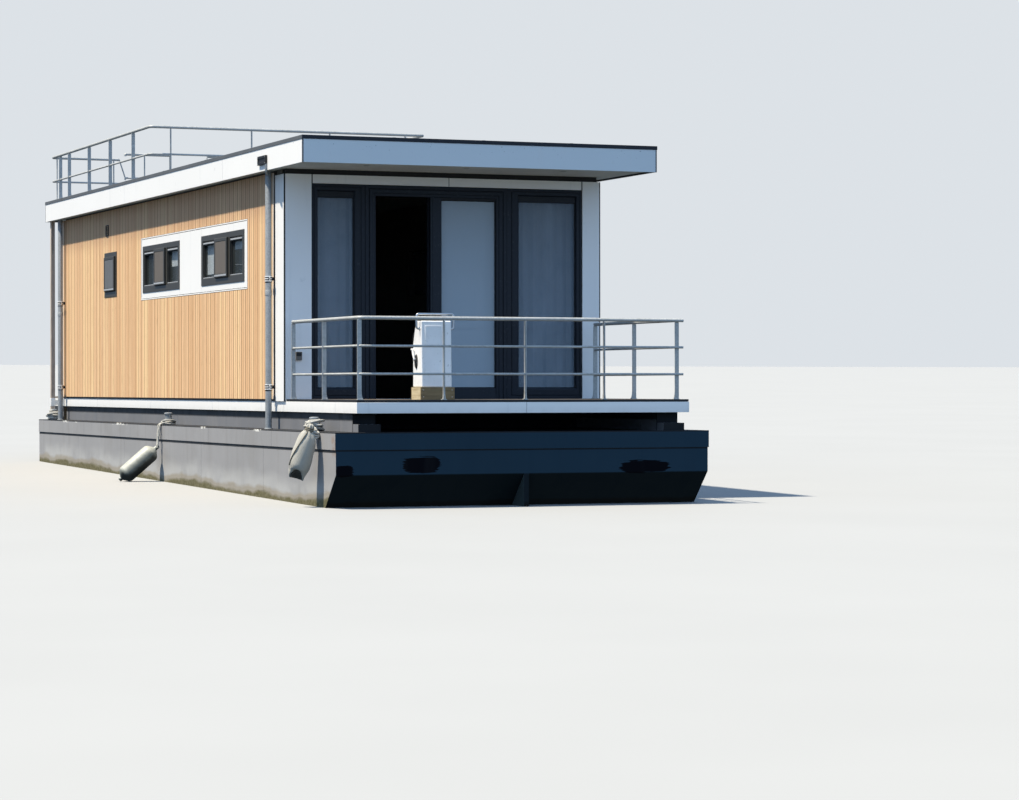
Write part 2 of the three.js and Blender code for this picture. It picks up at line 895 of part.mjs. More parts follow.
// Console body: tapered box whose rear upper face slopes as a dash
function makeConsole() {
  const c = consoleBox;
  const low = terraceFloor + c.plinth + GAP;
  const profile = [
    [aft(c.front), low],
    [aft(c.rear), low],
    [aft(c.rear), c.top - c.dashHeight],
    [aft(c.rear) - c.dashDepth, c.top],
    [aft(c.front) + c.taper, c.top],
  ];
  const body = sideProfile(profile, c.left, c.right);
  const y = aft(c.front) + grabRail.behind;
  const [left, right] = [c.left - grabRail.out, c.right + grabRail.out];
  const [high, foot] = [c.top + grabRail.above, c.top - grabRail.below];
  const hoop = [bar([left, y, high], [right, y, high], grabRail.radius)];
  for (const [x, face] of [[left, c.left + 1], [right, c.right - 1]]) {
    hoop.push(bar([x, y, foot], [x, y, high], grabRail.radius));
    hoop.push(bar([x, y, foot], [face, y, foot], grabRail.radius));
  }
  return join([body, ...hoop]);
}

function makePlinth() {
  const c = consoleBox;
  return block(
    [c.left - c.plinthOut, aft(c.front) - c.plinthOut, terraceFloor + GAP],
    [c.right + c.plinthRight, aft(c.rear) + c.plinthOut, terraceFloor + c.plinth],
  );
}

// Steering wheel: rim, spokes and a hub whose axis is square to the dash
const dashTilt = Math.atan2(consoleBox.dashDepth, consoleBox.dashHeight);
const wheelAxis = [0, Math.cos(dashTilt), Math.sin(dashTilt)];
const wheelFoot = [
  (consoleBox.left + consoleBox.right) / 2,
  aft(consoleBox.rear) - (1 - helm.belowTop / consoleBox.dashHeight) * consoleBox.dashDepth,
  consoleBox.top - helm.belowTop,
];
function alongWheelAxis(distance) {
  return wheelFoot.map((value, i) => value + wheelAxis[i] * distance);
}

function makeWheel() {
  const rim = new THREE.TorusGeometry(helm.wheelRadius, helm.rim, 8, 28);
  const toAxis = new THREE.Quaternion().setFromUnitVectors(
    new THREE.Vector3(0, 0, 1),
    new THREE.Vector3(...wheelAxis),
  );
  rim.applyQuaternion(toAxis);
  rim.translate(...alongWheelAxis(helm.hubOut));
  const spokes = [];
  for (let i = 0; i < 3; i++) {
    const angle = Math.PI / 2 + (i * 2 * Math.PI) / 3;
    const end = new THREE.Vector3(Math.cos(angle), Math.sin(angle), 0)
      .multiplyScalar(helm.wheelRadius)
      .applyQuaternion(toAxis)
      .add(new THREE.Vector3(...alongWheelAxis(helm.hubOut)));
    spokes.push(bar(alongWheelAxis(helm.hubOut - 10), end.toArray(), 8, 8));
  }
  const hub = bar(alongWheelAxis(1), alongWheelAxis(helm.hubOut + 12), 30, 16);
  return join([solid(rim), ...spokes, hub]);
}

// Outboard motor on a set-back bracket
const pivotY = stern + motor.setBack;
const steerY = pivotY + motor.steerAft;
const propZ = motor.pivotZ - motor.propBelow;
const motorZ = (above) => motor.pivotZ + above;

function makeMotorBracket() {
  const m = motor;
  const half = m.bracketHalf;
  const start = stern + GAP;
  const board = pivotY - m.boardFront;
  const sheet = m.bracketPlate;
  const [topZ, lowStern, lowBoard] = [motorZ(-30), motorZ(-370), motorZ(-260)];
  const plates = [-half, half - sheet].map((x) =>
    sideProfile([[start, lowStern], [board, lowBoard], [board, topZ], [start, topZ]], x, x + sheet),
  );
  const top = block([-half, start, topZ - sheet], [half, board, topZ]);
  const bottomPlate = sideProfile(
    [[start, lowStern], [board, lowBoard], [board, lowBoard + sheet], [start, lowStern + sheet]],
    -half,
    half,
  );
  const motorBoard = block([-half, board - 1, motorZ(-270)], [half, board + m.boardThick, motorZ(5)]);
  const clampEars = [-m.earX, m.earX].map((x) =>
    block(
      [x - m.earHalf, board + m.boardThick - 1, motorZ(-210)],
      [x + m.earHalf, pivotY + 30, motorZ(22)],
    ),
  );
  return join([...plates, top, bottomPlate, motorBoard, ...clampEars]);
}

// Swivel bracket: a round barrel that tilts between the ears, and the steering bearing
function makeSwivel() {
  const m = motor;
  const barrel = bar([-m.swivelHalf, pivotY, m.pivotZ], [m.swivelHalf, pivotY, m.pivotZ], m.barrel, 20);
  const body = block([-m.swivelHalf, pivotY - 5, motorZ(-270)], [m.swivelHalf, pivotY + 45, motorZ(20)]);
  const neck = block([-40, pivotY + 40, motorZ(-250)], [40, steerY + 30, motorZ(20)]);
  const bearing = bar([0, steerY, motorZ(-260)], [0, steerY, motorZ(29)], m.bearing, 16);
  return join([barrel, body, neck, bearing]);
}

// Cowl, leg and gearcase: they steer as one
function makeMotor() {
  const front = pivotY + motor.cowlFront;
  const rear = pivotY + motor.cowlRear;
  const low = motorZ(motor.cowlLow);
  const high = motorZ(motor.cowlHigh);
  const half = motor.cowlHalf;
  const side = sideProfile(
    [
      [front + 40, low],
      [rear - 60, low],
      [rear, low + 90],
      [rear - 20, high - 130],
      [rear - 110, high - 20],
      [front + 130, high],
      [front + 30, high - 80],
      [front, low + 120],
    ],
    -half,
    half,
  );
  const plan = new THREE.Shape();
  plan.moveTo(-half + 70, front);
  plan.lineTo(half - 70, front);
  plan.lineTo(half, front + 110);
  plan.lineTo(half, rear - 150);
  plan.lineTo(half - 90, rear);
  plan.lineTo(-half + 90, rear);
  plan.lineTo(-half, rear - 150);
  plan.lineTo(-half, front + 110);
  const planPrism = new THREE.ExtrudeGeometry(plan, { depth: high - low + 20, bevelEnabled: false });
  planPrism.translate(0, 0, low - 10);
  const cowl = side.intersect(solid(planPrism));
  const midLow = motorZ(-630);
  const mid = block([-85, steerY + 58, midLow], [85, steerY + 190, low + 1]);
  const yoke = block([-95, steerY - 90, motorZ(36)], [95, steerY + 190, low + 1]);
  const plate = block([-110, steerY - 70, motorZ(-630)], [110, steerY + 270, motorZ(-618)]);
  const legFoot = sideProfile(
    [
      [steerY + 30, motorZ(-629)],
      [steerY + 150, motorZ(-629)],
      [steerY + 120, motorZ(-750)],
      [steerY + 40, motorZ(-750)],
    ],
    -30,
    30,
  );
  const gearcase = turned(
    [
      [0, 0],
      [28, 20],
      [48, 90],
      [52, 200],
      [46, 262],
      [0, 262],
    ],
    [0, steerY - 90, propZ],
    [0, steerY, propZ],
    16,
  );
  const legJoin = block([-26, steerY - 20, motorZ(-800)], [26, steerY + 130, motorZ(-740)]);
  const skeg = sideProfile(
    [
      [steerY - 20, motorZ(-800)],
      [steerY + 130, motorZ(-800)],
      [steerY + 130, motorZ(-990)],
      [steerY + 90, motorZ(-1000)],
    ],
    -8,
    8,
  );
  return join([cowl, mid, yoke, plate, legFoot, gearcase, legJoin, skeg]);
}

function makePropeller() {
  const start = steerY - 90 + 262 + 6;
  const z = propZ;
  const hub = turned(
    [
      [0, 0],
      [42, 0],
      [38, 90],
      [20, 112],
      [0, 112],
    ],
    [0, start, z],
    [0, start + 1, z],
    16,
  );
  const blades = [];
  for (let i = 0; i < 3; i++) {
    const shape = new THREE.Shape();
    shape.moveTo(-30, 25);
    shape.lineTo(30, 25);
    shape.quadraticCurveTo(88, motor.propRadius * 0.62, 40, motor.propRadius);
    shape.quadraticCurveTo(-20, motor.propRadius * 1.02, -62, motor.propRadius * 0.72);
    shape.lineTo(-30, 25);
    const g = new THREE.ExtrudeGeometry(shape, { depth: 7, bevelEnabled: false, curveSegments: 5 });
    g.translate(0, 0, -3.5);
    g.rotateX(Math.PI / 2);
    g.rotateZ(THREE.MathUtils.degToRad(32));
    g.rotateY((i * 2 * Math.PI) / 3);
    g.translate(0, start + 50, z);
    blades.push(solid(g));
  }
  return join([hub, ...blades]);
}

function makeCurtain({ from, to }) {
  const front = aft(house.front) + curtain.behind;
  return block([from, front, terraceFloor + curtain.low], [to, front + curtain.thick, house.soffit - GAP]);
}

// The boat, piece by piece
piece("hull", makeHull(), material.hullPaint);
piece("coaming_left", makeCoaming(), material.coamingPaint);
piece("coaming_right", mirrorX(makeCoaming()), material.coamingPaint);
piece("floor", makeFloor(), material.timber);
piece("deck_band", makeDeckBand(), material.whitePaint);
piece(
  "terrace_decking",
  makeDecking(aft(2), aft(house.front) - GAP, deckBand.half - 5, deckBand.top),
  material.decking,
);
piece("stern_porch", makePorch(), material.timber);

piece("wall_left", makeSideWall(), material.cladding);
piece("wall_right", mirrorX(makeSideWall()), material.cladding);
piece("wall_rear", makeRearWall(), material.cladding);
piece("window_panel_left", makeWindowPanel(), material.whitePaint);
piece("window_panel_right", mirrorX(makeWindowPanel()), material.whitePaint);
for (const w of sideWindows) {
  piece("window_left_" + w.name, makeWindowFrame(w), material.anthracite);
  piece("window_right_" + w.name, mirrorX(makeWindowFrame(w)), material.anthracite);
  piece("window_glass_left_" + w.name, makeWindowGlass(w), material.glass);
  piece("window_glass_right_" + w.name, mirrorX(makeWindowGlass(w)), material.glass);
}

piece("front_surround", makeFrontSurround(), material.whitePaint);
piece("side_light_left", makeSideLight(sideLightLeft), material.anthracite);
piece("side_light_right", makeSideLight(sideLightRight), material.anthracite);
piece("side_glass_left", makeSideGlass(sideLightLeft), material.glass);
piece("side_glass_right", makeSideGlass(sideLightRight), material.glass);
piece("door_frame", makeDoorFrame(), material.anthracite);
piece("door_fixed_glass", makeDoorFixedGlass(), material.glass);
piece("door_leaf", makeDoorLeaf(), material.anthracite);
piece("door_leaf_glass", makeDoorLeafGlass(), material.glass);
piece("rear_door", makeRearDoor(), material.anthracite);
for (const c of curtains) {
  piece("curtain_" + c.name, makeCurtain(c), material.curtain);
}

piece("roof", makeRoof(), material.roofing);
piece("fascia", makeFascia(), material.whitePaint);
piece("roof_railing", makeRoofRailing(), material.galvanised);
piece("roof_ladder", makeLadder(), material.galvanised);
piece("terrace_railing", makeTerraceRailing(), material.galvanised);
piece("downpipe_front", makeFrontDownpipe(), material.galvanised);
piece("downpipe_rear", makeDownpipe(pipe.rear), material.galvanised);

piece("console_plinth", makePlinth(), material.timber);
piece("console_body", makeConsole(), material.console);
piece("steering_wheel", makeWheel(), material.black);

piece(
  "fender_middle",
  makeFender([-2305, aft(7270), water + 545], [-2800, aft(7320), water + 115], 117),
  material.rubberGrey,
);
piece(
  "fender_bow",
  makeFender([-2370, aft(530), water + 870], [-2505, aft(610), water + 320], 115),
  material.canvas,
);

piece("outboard_bracket", makeMotorBracket(), material.coamingPaint);
piece("outboard_swivel", makeSwivel(), material.motorPaint);
piece("outboard_motor", makeMotor(), material.motorPaint);
piece("propeller", makePropeller(), material.bronze);

export default boat;
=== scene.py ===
"""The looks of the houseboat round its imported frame. Metres, X to starboard, Y aft, Z up,
with the origin in the middle of the hull's flat bottom."""

import math
import random

import bmesh
import bpy
from mathutils import Matrix, Vector


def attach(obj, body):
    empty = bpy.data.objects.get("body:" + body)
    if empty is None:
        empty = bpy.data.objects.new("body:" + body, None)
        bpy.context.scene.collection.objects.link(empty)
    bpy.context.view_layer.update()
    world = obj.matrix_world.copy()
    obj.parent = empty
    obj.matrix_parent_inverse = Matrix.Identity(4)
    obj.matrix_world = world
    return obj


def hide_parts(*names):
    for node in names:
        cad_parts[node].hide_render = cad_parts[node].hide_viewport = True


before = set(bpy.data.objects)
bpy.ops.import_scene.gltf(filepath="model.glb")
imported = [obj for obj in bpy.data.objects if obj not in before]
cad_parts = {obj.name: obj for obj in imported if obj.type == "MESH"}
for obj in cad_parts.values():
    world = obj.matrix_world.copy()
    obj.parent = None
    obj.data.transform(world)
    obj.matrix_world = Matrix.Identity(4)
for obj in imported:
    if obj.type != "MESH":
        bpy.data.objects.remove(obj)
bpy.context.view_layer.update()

# Main sizes, as distances aft of the bow and heights above the water at the bow.
# GAP is the space left between faces that would touch.
HALF_LENGTH = 7.275
DRAUGHT = 0.45
WATER_SLOPE = 0.01285
WATER_AMIDSHIPS = 0.5435
GAP = 0.0003
HULL_HALF = 2.25
DECK = 1.288
WALL = 2.02
WALL_THICK = 0.15
BOARD = 0.1727
BOARD_PHASE = -7.2595
WALL_FRONT = 2.58
WALL_REAR = 13.9
CORNER_LEG = 0.36
ROOF_HALF = 2.2
ROOF_FRONT = 1.32
ROOF_REAR = 14.29
BOLLARD_X = -2.15
BOLLARDS = (1.05, 7.27, 13.95)

# Camera fitted to the photograph: degrees and millimetres
CAMERA_PLACE = (-12.27, -37.453, 1.783)
CAMERA_HEADING, CAMERA_TILT, CAMERA_ROLL = -21.7855, -0.2528, -0.029
CAMERA_LENS = 103.14


# Directions
ACROSS, AFTWARD, UPWARD = (1, 0, 0), (0, 1, 0), (0, 0, 1)


def aft(distance):
    return distance - HALF_LENGTH


def up(height):
    return height + DRAUGHT


BAND_LOW = up(1.046)
BAND_TOP = up(1.168)
FLOOR_TOP = up(1.193)
WALL_TOP = up(3.838)
SIDE_TOP = up(3.876)
EAVES = up(3.878)
SOFFIT = up(3.9)
FASCIA_TOP = up(4.143)
ROOF_DECK = up(4.17)
TRIM_TOP = up(4.188)
UNIT_TOP = up(3.733)
GLASS_LOW = up(1.325)
GLASS_TOP = up(3.576)
WALL_LOW = BAND_TOP + GAP
CEILING = SOFFIT - GAP


def linear(red, green, blue):
    """A screen colour from 0 to 255 as the numbers that a shader takes."""
    shares = (red / 255, green / 255, blue / 255)
    return tuple(((c + 0.055) / 1.055) ** 2.4 if c > 10 / 255 else c / 12.92 for c in shares)


def circle(count):
    """Cosine and sine at even steps round a circle."""
    return [(math.cos(2 * math.pi * k / count), math.sin(2 * math.pi * k / count)) for k in range(count)]


def placed(name, data):
    """A new object in the scene."""
    made = bpy.data.objects.new(name, data)
    bpy.context.collection.objects.link(made)
    return made


def make_camera():
    data = bpy.data.cameras.new("camera")
    data.lens = CAMERA_LENS
    data.sensor_width = 36
    data.clip_end = 2000
    camera = placed("camera", data)
    camera.location = CAMERA_PLACE
    turn = Matrix.Rotation(math.radians(CAMERA_HEADING), 3, "Z")
    turn = turn @ Matrix.Rotation(math.radians(90 + CAMERA_TILT), 3, "X")
    turn = turn @ Matrix.Rotation(math.radians(CAMERA_ROLL), 3, "Z")
    camera.rotation_euler = turn.to_euler()
    bpy.context.scene.camera = camera


# Materials
class Finish:
    """A procedural material: one base colour, then tints, wear and relief on top of it."""

    def __init__(self, name, colour, rough, metal=0.0, **more):
        self.material = bpy.data.materials.new(name)
        self.material.use_nodes = True
        self.tree = self.material.node_tree
        self.shader = self.tree.nodes["Principled BSDF"]
        self.colour = (*linear(*colour), 1.0)
        self.rough = rough
        self.put("Base Color", self.colour)
        self.put("Roughness", rough)
        self.put("Metallic", metal)
        for key, value in more.items():
            self.put(key.replace("_", " "), value)
        self.here = self.node("ShaderNodeTexCoord").outputs["Object"]
        apart = self.node("ShaderNodeSeparateXYZ")
        self.join(self.here, apart.inputs[0])
        self.x, self.y, self.z = apart.outputs
        self.height = None

    def node(self, kind, **settings):
        made = self.tree.nodes.new(kind)
        for key, value in settings.items():
            setattr(made, key, value)
        return made

    def join(self, value, socket):
        if isinstance(value, bpy.types.NodeSocket):
            self.tree.links.new(value, socket)
        else:
            socket.default_value = value

    def put(self, name, value):
        self.join(value, self.shader.inputs[name])

    def calc(self, operation, a, b=0.0, c=0.0, clamp=False):
        made = self.node("ShaderNodeMath", operation=operation, use_clamp=clamp)
        for value, socket in zip((a, b, c), made.inputs):
            self.join(value, socket)
        return made.outputs[0]

    def span(self, value, low, high, to_low=0.0, to_high=1.0):
        """Runs from to_low to to_high while value goes from low to high."""
        made = self.node("ShaderNodeMapRange", interpolation_type="SMOOTHSTEP")
        for socket, number in zip(made.inputs, (value, low, high, to_low, to_high)):
            self.join(number, socket)
        return made.outputs[0]

    def place(self, stretch=(1, 1, 1), shift=(0, 0, 0)):
        made = self.node("ShaderNodeMapping")
        self.join(self.here, made.inputs["Vector"])
        self.join(shift, made.inputs["Location"])
        self.join(stretch, made.inputs["Scale"])
        return made.outputs[0]

    def noise(self, scale, stretch=(1, 1, 1), detail=3.0, rough=0.55, shift=(0, 0, 0)):
        made = self.node("ShaderNodeTexNoise")
        self.join(self.place(stretch, shift), made.inputs["Vector"])
        self.join(scale, made.inputs["Scale"])
        self.join(detail, made.inputs["Detail"])
        self.join(rough, made.inputs["Roughness"])
        return made.outputs["Fac"]

    def cells(self, scale):
        made = self.node("ShaderNodeTexVoronoi")
        self.join(self.place(), made.inputs["Vector"])
        self.join(scale, made.inputs["Scale"])
        return made.outputs["Color"]

    def speck(self, scale, low, high, **more):
        return self.span(self.noise(scale, **more), low, high)

    def times(self, *values):
        product = values[0]
        for value in values[1:]:
            product = self.calc("MULTIPLY", product, value)
        return product

    def facing_up(self):
        """How far the surface faces up, from -1 to 1."""
        apart = self.node("ShaderNodeSeparateXYZ")
        self.join(self.node("ShaderNodeNewGeometry").outputs["Normal"], apart.inputs[0])
        return apart.outputs[2]

    def box_mask(self, low, high, soft):
        """1 inside a box, fading to 0 over soft outside it. None leaves an axis out."""
        product = None
        for value, a, b in zip((self.x, self.y, self.z), low, high):
            if a is None:
                continue
            inside = self.times(self.span(value, a - soft, a), self.span(value, b, b + soft, 1.0, 0.0))
            product = inside if product is None else self.times(product, inside)
        return product

    def tint(self, mask, colour, most=1.0):
        """Mixes the colour in where mask is high. colour is a screen colour or a socket."""
        made = self.node("ShaderNodeMix", data_type="RGBA")
        self.join(self.calc("MULTIPLY", mask, most, clamp=True), made.inputs["Factor"])
        self.join(self.colour, made.inputs["A"])
        wanted = colour if isinstance(colour, bpy.types.NodeSocket) else (*linear(*colour), 1.0)
        self.join(wanted, made.inputs["B"])
        self.colour = made.outputs["Result"]
        self.put("Base Color", self.colour)
        return self

    def vary(self, value, amount):
        """Lightens and darkens the colour by amount as value goes from 0 to 1."""
        made = self.node("ShaderNodeHueSaturation")
        self.join(self.span(value, 0.25, 0.75, 1 - amount, 1 + amount), made.inputs["Value"])
        self.join(self.colour, made.inputs["Color"])
        self.colour = made.outputs["Color"]
        self.put("Base Color", self.colour)
        return self

    def dull(self, mask, rough):
        """Takes the roughness towards another value where mask is high."""
        made = self.node("ShaderNodeMix")
        self.join(self.calc("MULTIPLY", mask, 1.0, clamp=True), made.inputs["Factor"])
        self.join(self.rough, made.inputs["A"])
        self.join(rough, made.inputs["B"])
        self.rough = made.outputs["Result"]
        self.put("Roughness", self.rough)
        return self

    def relief(self, value, depth):
        """Adds value times depth, in metres, to the bump."""
        part = self.calc("MULTIPLY", value, depth)
        if self.height is None:
            self.bump = self.node("ShaderNodeBump")
            self.bump.inputs["Distance"].default_value = 1.0
            self.put("Normal", self.bump.outputs["Normal"])
            self.height = part
        else:
            self.height = self.calc("ADD", self.height, part)
        self.join(self.height, self.bump.inputs["Height"])
        return self


# Dark repairs on the bow plate: middle and half size across and up
FRONT_PATCHES = ((-1.25, 0.215, 0.93, 0.088), (1.447, 0.3, 0.883, 0.07), (-2.14, 0.1, 0.868, 0.062))


def bow_paint(f, over, streaks, rough):
    """Bow plate in the shade, with painted shade where it rakes in under the knuckle, near black towards the
    water, and its black repairs.
    """
    f.tint(f.times(f.span(streaks, 0.52, 0.75), 0.35), (40, 56, 68))
    # Painted shade: the raked plate under the knuckle, which faces down, is darkened
    f.tint(f.span(over, 0.38, 0.36), (0, 12, 18), 0.92)
    f.tint(f.times(f.span(over, 0.34, 0.1), f.span(rough, 0.5, 0.75)), (12, 26, 28), 0.5)
    f.tint(f.span(f.calc("ADD", over, f.times(rough, 0.06)), 0.11, 0.07), (0, 1, 2), 0.9)
    ragged = f.calc("MULTIPLY_ADD", f.noise(1.0, (5, 5, 70), detail=4), 3.0, -1.5)
    for x, half_x, z, half_z in FRONT_PATCHES:
        away = ragged
        for value, middle, half in ((f.x, x, half_x), (f.z, z, half_z)):
            share = f.calc("ABSOLUTE", f.calc("DIVIDE", f.calc("SUBTRACT", value, middle), half))
            away = f.calc("ADD", away, f.calc("POWER", share, 3.5))
        blot = f.span(away, 1.1, 0.95)
        f.tint(blot, (0, 0, 7)).dull(blot, 1.0)


def side_weather(f, over, fine, streaks, blotch, rough):
    """Plate in the sun: streaks, a pale band over the brown and green growth, rust and runs."""
    f.tint(f.span(streaks, 0.48, 0.75), (128, 128, 130), 0.3)
    f.tint(f.span(blotch, 0.55, 0.7), (136, 135, 134), 0.35)
    f.tint(f.times(f.span(fine, 0.6, 0.74), f.span(f.z, 0.9, 1.3)), (98, 98, 102), 0.3)
    sway = f.calc("MULTIPLY_ADD", f.noise(1.0, (1.1, 1.1, 1.1), detail=2), 0.24, -0.12)
    ragged = f.calc("MULTIPLY_ADD", rough, 0.1, -0.05)
    level = f.calc("ADD", over, f.calc("ADD", sway, ragged))
    crust = f.span(level, 0.14, 0.06)
    f.tint(f.times(f.span(level, 0.36, 0.14), f.span(blotch, 0.3, 0.6)), (196, 197, 194), 0.5)
    f.tint(f.span(level, 0.15, 0.1), (136, 126, 106), 0.65)
    f.tint(f.span(level, 0.085, 0.035), (102, 96, 58), 0.8)
    f.tint(f.times(f.span(level, 0.09, 0.02), f.span(f.noise(30.0), 0.4, 0.6)), (74, 72, 38), 0.7)
    f.dull(crust, 0.9)
    f.relief(f.times(crust, f.noise(60.0, detail=4)), 0.004)
    corner = f.box_mask((None, -7.3, 1.07), (None, -7.19, 1.2), 0.1)
    f.tint(f.times(corner, f.span(f.noise(14.0), 0.35, 0.6)), (142, 118, 100), 0.6)
    runs = f.speck(1.0, 0.66, 0.76, stretch=(5, 5, 0.35), detail=6, shift=(3, 1, 0))
    f.tint(f.times(runs, f.span(fine, 0.4, 0.6)), (132, 116, 102), 0.35)


def deck_edge(f, front):
    """A painted shadow line under the raised band, the deck edge darkened as painted shade, and droppings
    along the side's edge.
    """
    low = DECK - (0.205 if front else 0.222)
    # Painted shadow under the raised band, then painted shade on the deck edge
    f.tint(f.box_mask((None, None, low), (None, None, DECK - 0.194), 0.004), (16, 19, 23), 0.9)
    f.tint(f.span(f.z, DECK - 0.014, DECK - 0.009), (26, 28, 31), 0.98)
    if not front:
        patches = f.speck(1.0, 0.57, 0.62, stretch=(2.2, 0.8, 2.2), detail=2, shift=(1, 4, 2))
        lumps = f.times(patches, f.speck(1.0, 0.47, 0.52, stretch=(24, 9, 24), detail=3))
        rim = f.box_mask((-3, -9, DECK - 0.024), (-2.236, 9, DECK + 0.002), 0.004)
        f.tint(f.times(lumps, rim), (226, 226, 220), 0.95)


def weathered_steel(name, colour, front=False, hull=True):
    """Hull paint: soft streaks that run down, growth at the water, stains, uneven plating."""
    f = Finish(name, colour, 0.62)
    f.put("Specular IOR Level", 0.2 if front else 0.4)
    sloped = f.calc("MULTIPLY", f.y, WATER_SLOPE)
    over = f.calc("SUBTRACT", f.calc("SUBTRACT", f.z, WATER_AMIDSHIPS), sloped)
    streaks = f.noise(1.0, (4.5, 4.5, 0.45), detail=5)
    fine = f.noise(1.0, (26, 26, 2.2), detail=5)
    blotch = f.noise(1.3, detail=5, shift=(5, 2, 1))
    rough = f.noise(1.0, (7, 1.7, 9), detail=5, shift=(2, 7, 3))
    f.vary(f.noise(0.8, detail=4), 0.06)
    if front:
        bow_paint(f, over, streaks, rough)
    else:
        side_weather(f, over, fine, streaks, blotch, rough)
    if hull:
        deck_edge(f, front)
    else:
        # Painted shadow: the coaming's upper part, under the white band's overhang, is darkened
        ragged = f.calc("ADD", f.z, f.times(fine, 0.02))
        f.tint(f.span(ragged, BAND_LOW - 0.085, BAND_LOW - 0.065), (20, 23, 27), 0.85)
    f.tint(f.span(over, 0.0, -0.12), (58, 58, 44), 0.8)
    f.tint(f.times(f.span(over, -0.05, -0.3), f.speck(26, 0.5, 0.62)), (96, 92, 74), 0.7)
    f.relief(f.noise(1.6, detail=2), 0.006)
    f.relief(f.noise(220.0, detail=2), 0.00025)
    f.dull(f.span(streaks, 0.45, 0.7), 0.75)
    return f


def white_board(name="white_board", colour=(240, 240, 238)):
    """Smooth white facing board with a little dirt that has run down it."""
    f = Finish(name, colour, 0.34)
    f.vary(f.noise(0.5, detail=2), 0.02)
    f.tint(f.speck(1.0, 0.58, 0.78, stretch=(9, 9, 0.9), detail=4), (206, 210, 212), 0.3)
    f.tint(f.speck(7.0, 0.66, 0.8, detail=5), (184, 188, 188), 0.3)
    specks = f.times(f.speck(36.0, 0.7, 0.75, detail=2), f.span(f.z, EAVES + 0.06, FASCIA_TOP))
    f.tint(specks, (104, 112, 118), 0.7)
    f.tint(f.times(f.span(f.z, BAND_TOP - 0.02, BAND_LOW), f.noise(9.0)), (170, 172, 166), 0.35)
    f.dull(f.noise(6.0), 0.46)
    f.relief(f.noise(420.0, detail=1), 0.00004)
    return f


def cladding_wood():
    """Narrow composite boards: each board its own tone, grain along it, dark in the joints."""
    f = Finish("cladding", (229, 190, 146), 0.7)
    along = f.calc("DIVIDE", f.calc("SUBTRACT", f.y, BOARD_PHASE), BOARD)
    across = f.calc("DIVIDE", f.calc("SUBTRACT", f.x, BOARD_PHASE), BOARD)
    pair = f.node("ShaderNodeCombineXYZ")
    f.join(f.calc("FLOOR", f.calc("MULTIPLY", along, 2.0)), pair.inputs[0])
    f.join(f.calc("FLOOR", across), pair.inputs[1])
    white = f.node("ShaderNodeTexWhiteNoise", noise_dimensions="3D")
    f.join(pair.outputs[0], white.inputs["Vector"])
    tone = white.outputs["Value"]
    f.tint(f.span(tone, 0.35, 1.0), (212, 168, 122), 0.6)
    f.tint(f.span(tone, 0.45, 0.0), (244, 212, 160), 0.7)
    grain = f.noise(1.0, (110, 110, 1.6), detail=5, rough=0.7)
    f.tint(f.span(grain, 0.5, 0.68), (186, 142, 98), 0.6)
    f.tint(f.span(grain, 0.42, 0.3), (238, 208, 164), 0.4)
    f.tint(f.speck(1.0, 0.6, 0.7, stretch=(46, 46, 5), detail=3), (150, 108, 70), 0.4)
    f.tint(f.speck(1.0, 0.58, 0.75, stretch=(3, 3, 0.25), detail=3), (204, 162, 118), 0.35)
    # Painted shade: the boards turn darker and browner towards the top, under the eaves
    f.tint(f.span(f.z, SIDE_TOP - 0.62, SIDE_TOP - 0.3), (150, 116, 98), 0.42)
    share = f.calc("FRACT", along)
    joint = f.calc("MINIMUM", share, f.calc("SUBTRACT", 1.0, share))
    f.tint(f.span(joint, 0.13, 0.06), (140, 102, 70), 0.6)
    middle = f.calc("ABSOLUTE", f.calc("SUBTRACT", share, 0.5))
    f.tint(f.span(middle, 0.06, 0.025), (160, 120, 84), 0.5)
    f.dull(grain, 0.8)
    f.relief(grain, 0.0006)
    return f


def frame_plastic(name, colour=(56, 54, 48), dust=(140, 142, 142), shine=0.5):
    """Dark frames: fine grain, dust that settles on what faces up."""
    f = Finish(name, colour, 0.44)
    f.put("Specular IOR Level", shine)
    f.vary(f.noise(2.0, (1, 1, 0.4)), 0.08)
    f.tint(f.speck(40.0, 0.6, 0.72), (82, 86, 90), 0.25)
    f.tint(f.times(f.span(f.facing_up(), 0.5, 0.95), f.noise(12.0)), dust, 0.5)
    f.relief(f.noise(900.0, detail=1), 0.00005)
    return f


def window_glass(name, colour, haze_and_reflection, alpha=0.35):
    """Clear pane with pale soft upright bands: a film of dust and rain marks, and painted reflection."""
    f = Finish(name, colour, 0.03, Alpha=alpha)
    f.put("IOR", 1.52)
    # Pale bands: dust, and painted reflection
    f.tint(f.speck(1.4, 0.5, 0.7, stretch=(2, 2, 0.5), detail=4), haze_and_reflection, 0.45)
    f.dull(f.speck(7.0, 0.55, 0.75, detail=4), 0.09)
    f.relief(f.noise(0.9, detail=1), 0.0015)
    return f


def galvanised(name="galvanised", colour=(170, 172, 170), pale=(196, 198, 196)):
    """Hot dip galvanised steel with its spangle and white bloom."""
    f = Finish(name, colour, 0.5, 0.2)
    f.vary(f.cells(70.0), 0.1)
    f.tint(f.speck(6.0, 0.5, 0.68, detail=5), pale, 0.45)
    f.tint(f.speck(24.0, 0.64, 0.74, detail=5), (122, 116, 110), 0.4)
    f.dull(f.cells(70.0), 0.62)
    f.relief(f.noise(90.0, detail=2), 0.0002)
    return f


def plank(name, colour, dark, light, stretch, rough=0.8):
    """Sawn wood with grain along one direction, weathered in patches."""
    f = Finish(name, colour, rough)
    grain = f.noise(1.0, stretch, detail=6, rough=0.65)
    f.tint(f.span(grain, 0.48, 0.7), dark, 0.7)
    f.tint(f.span(grain, 0.45, 0.28), light, 0.6)
    f.vary(f.noise(2.4, detail=3), 0.12)
    f.tint(f.speck(5.0, 0.55, 0.7, detail=5), light, 0.35)
    f.relief(grain, 0.0012)
    f.dull(f.noise(4.0), min(1.0, rough + 0.1))
    return f


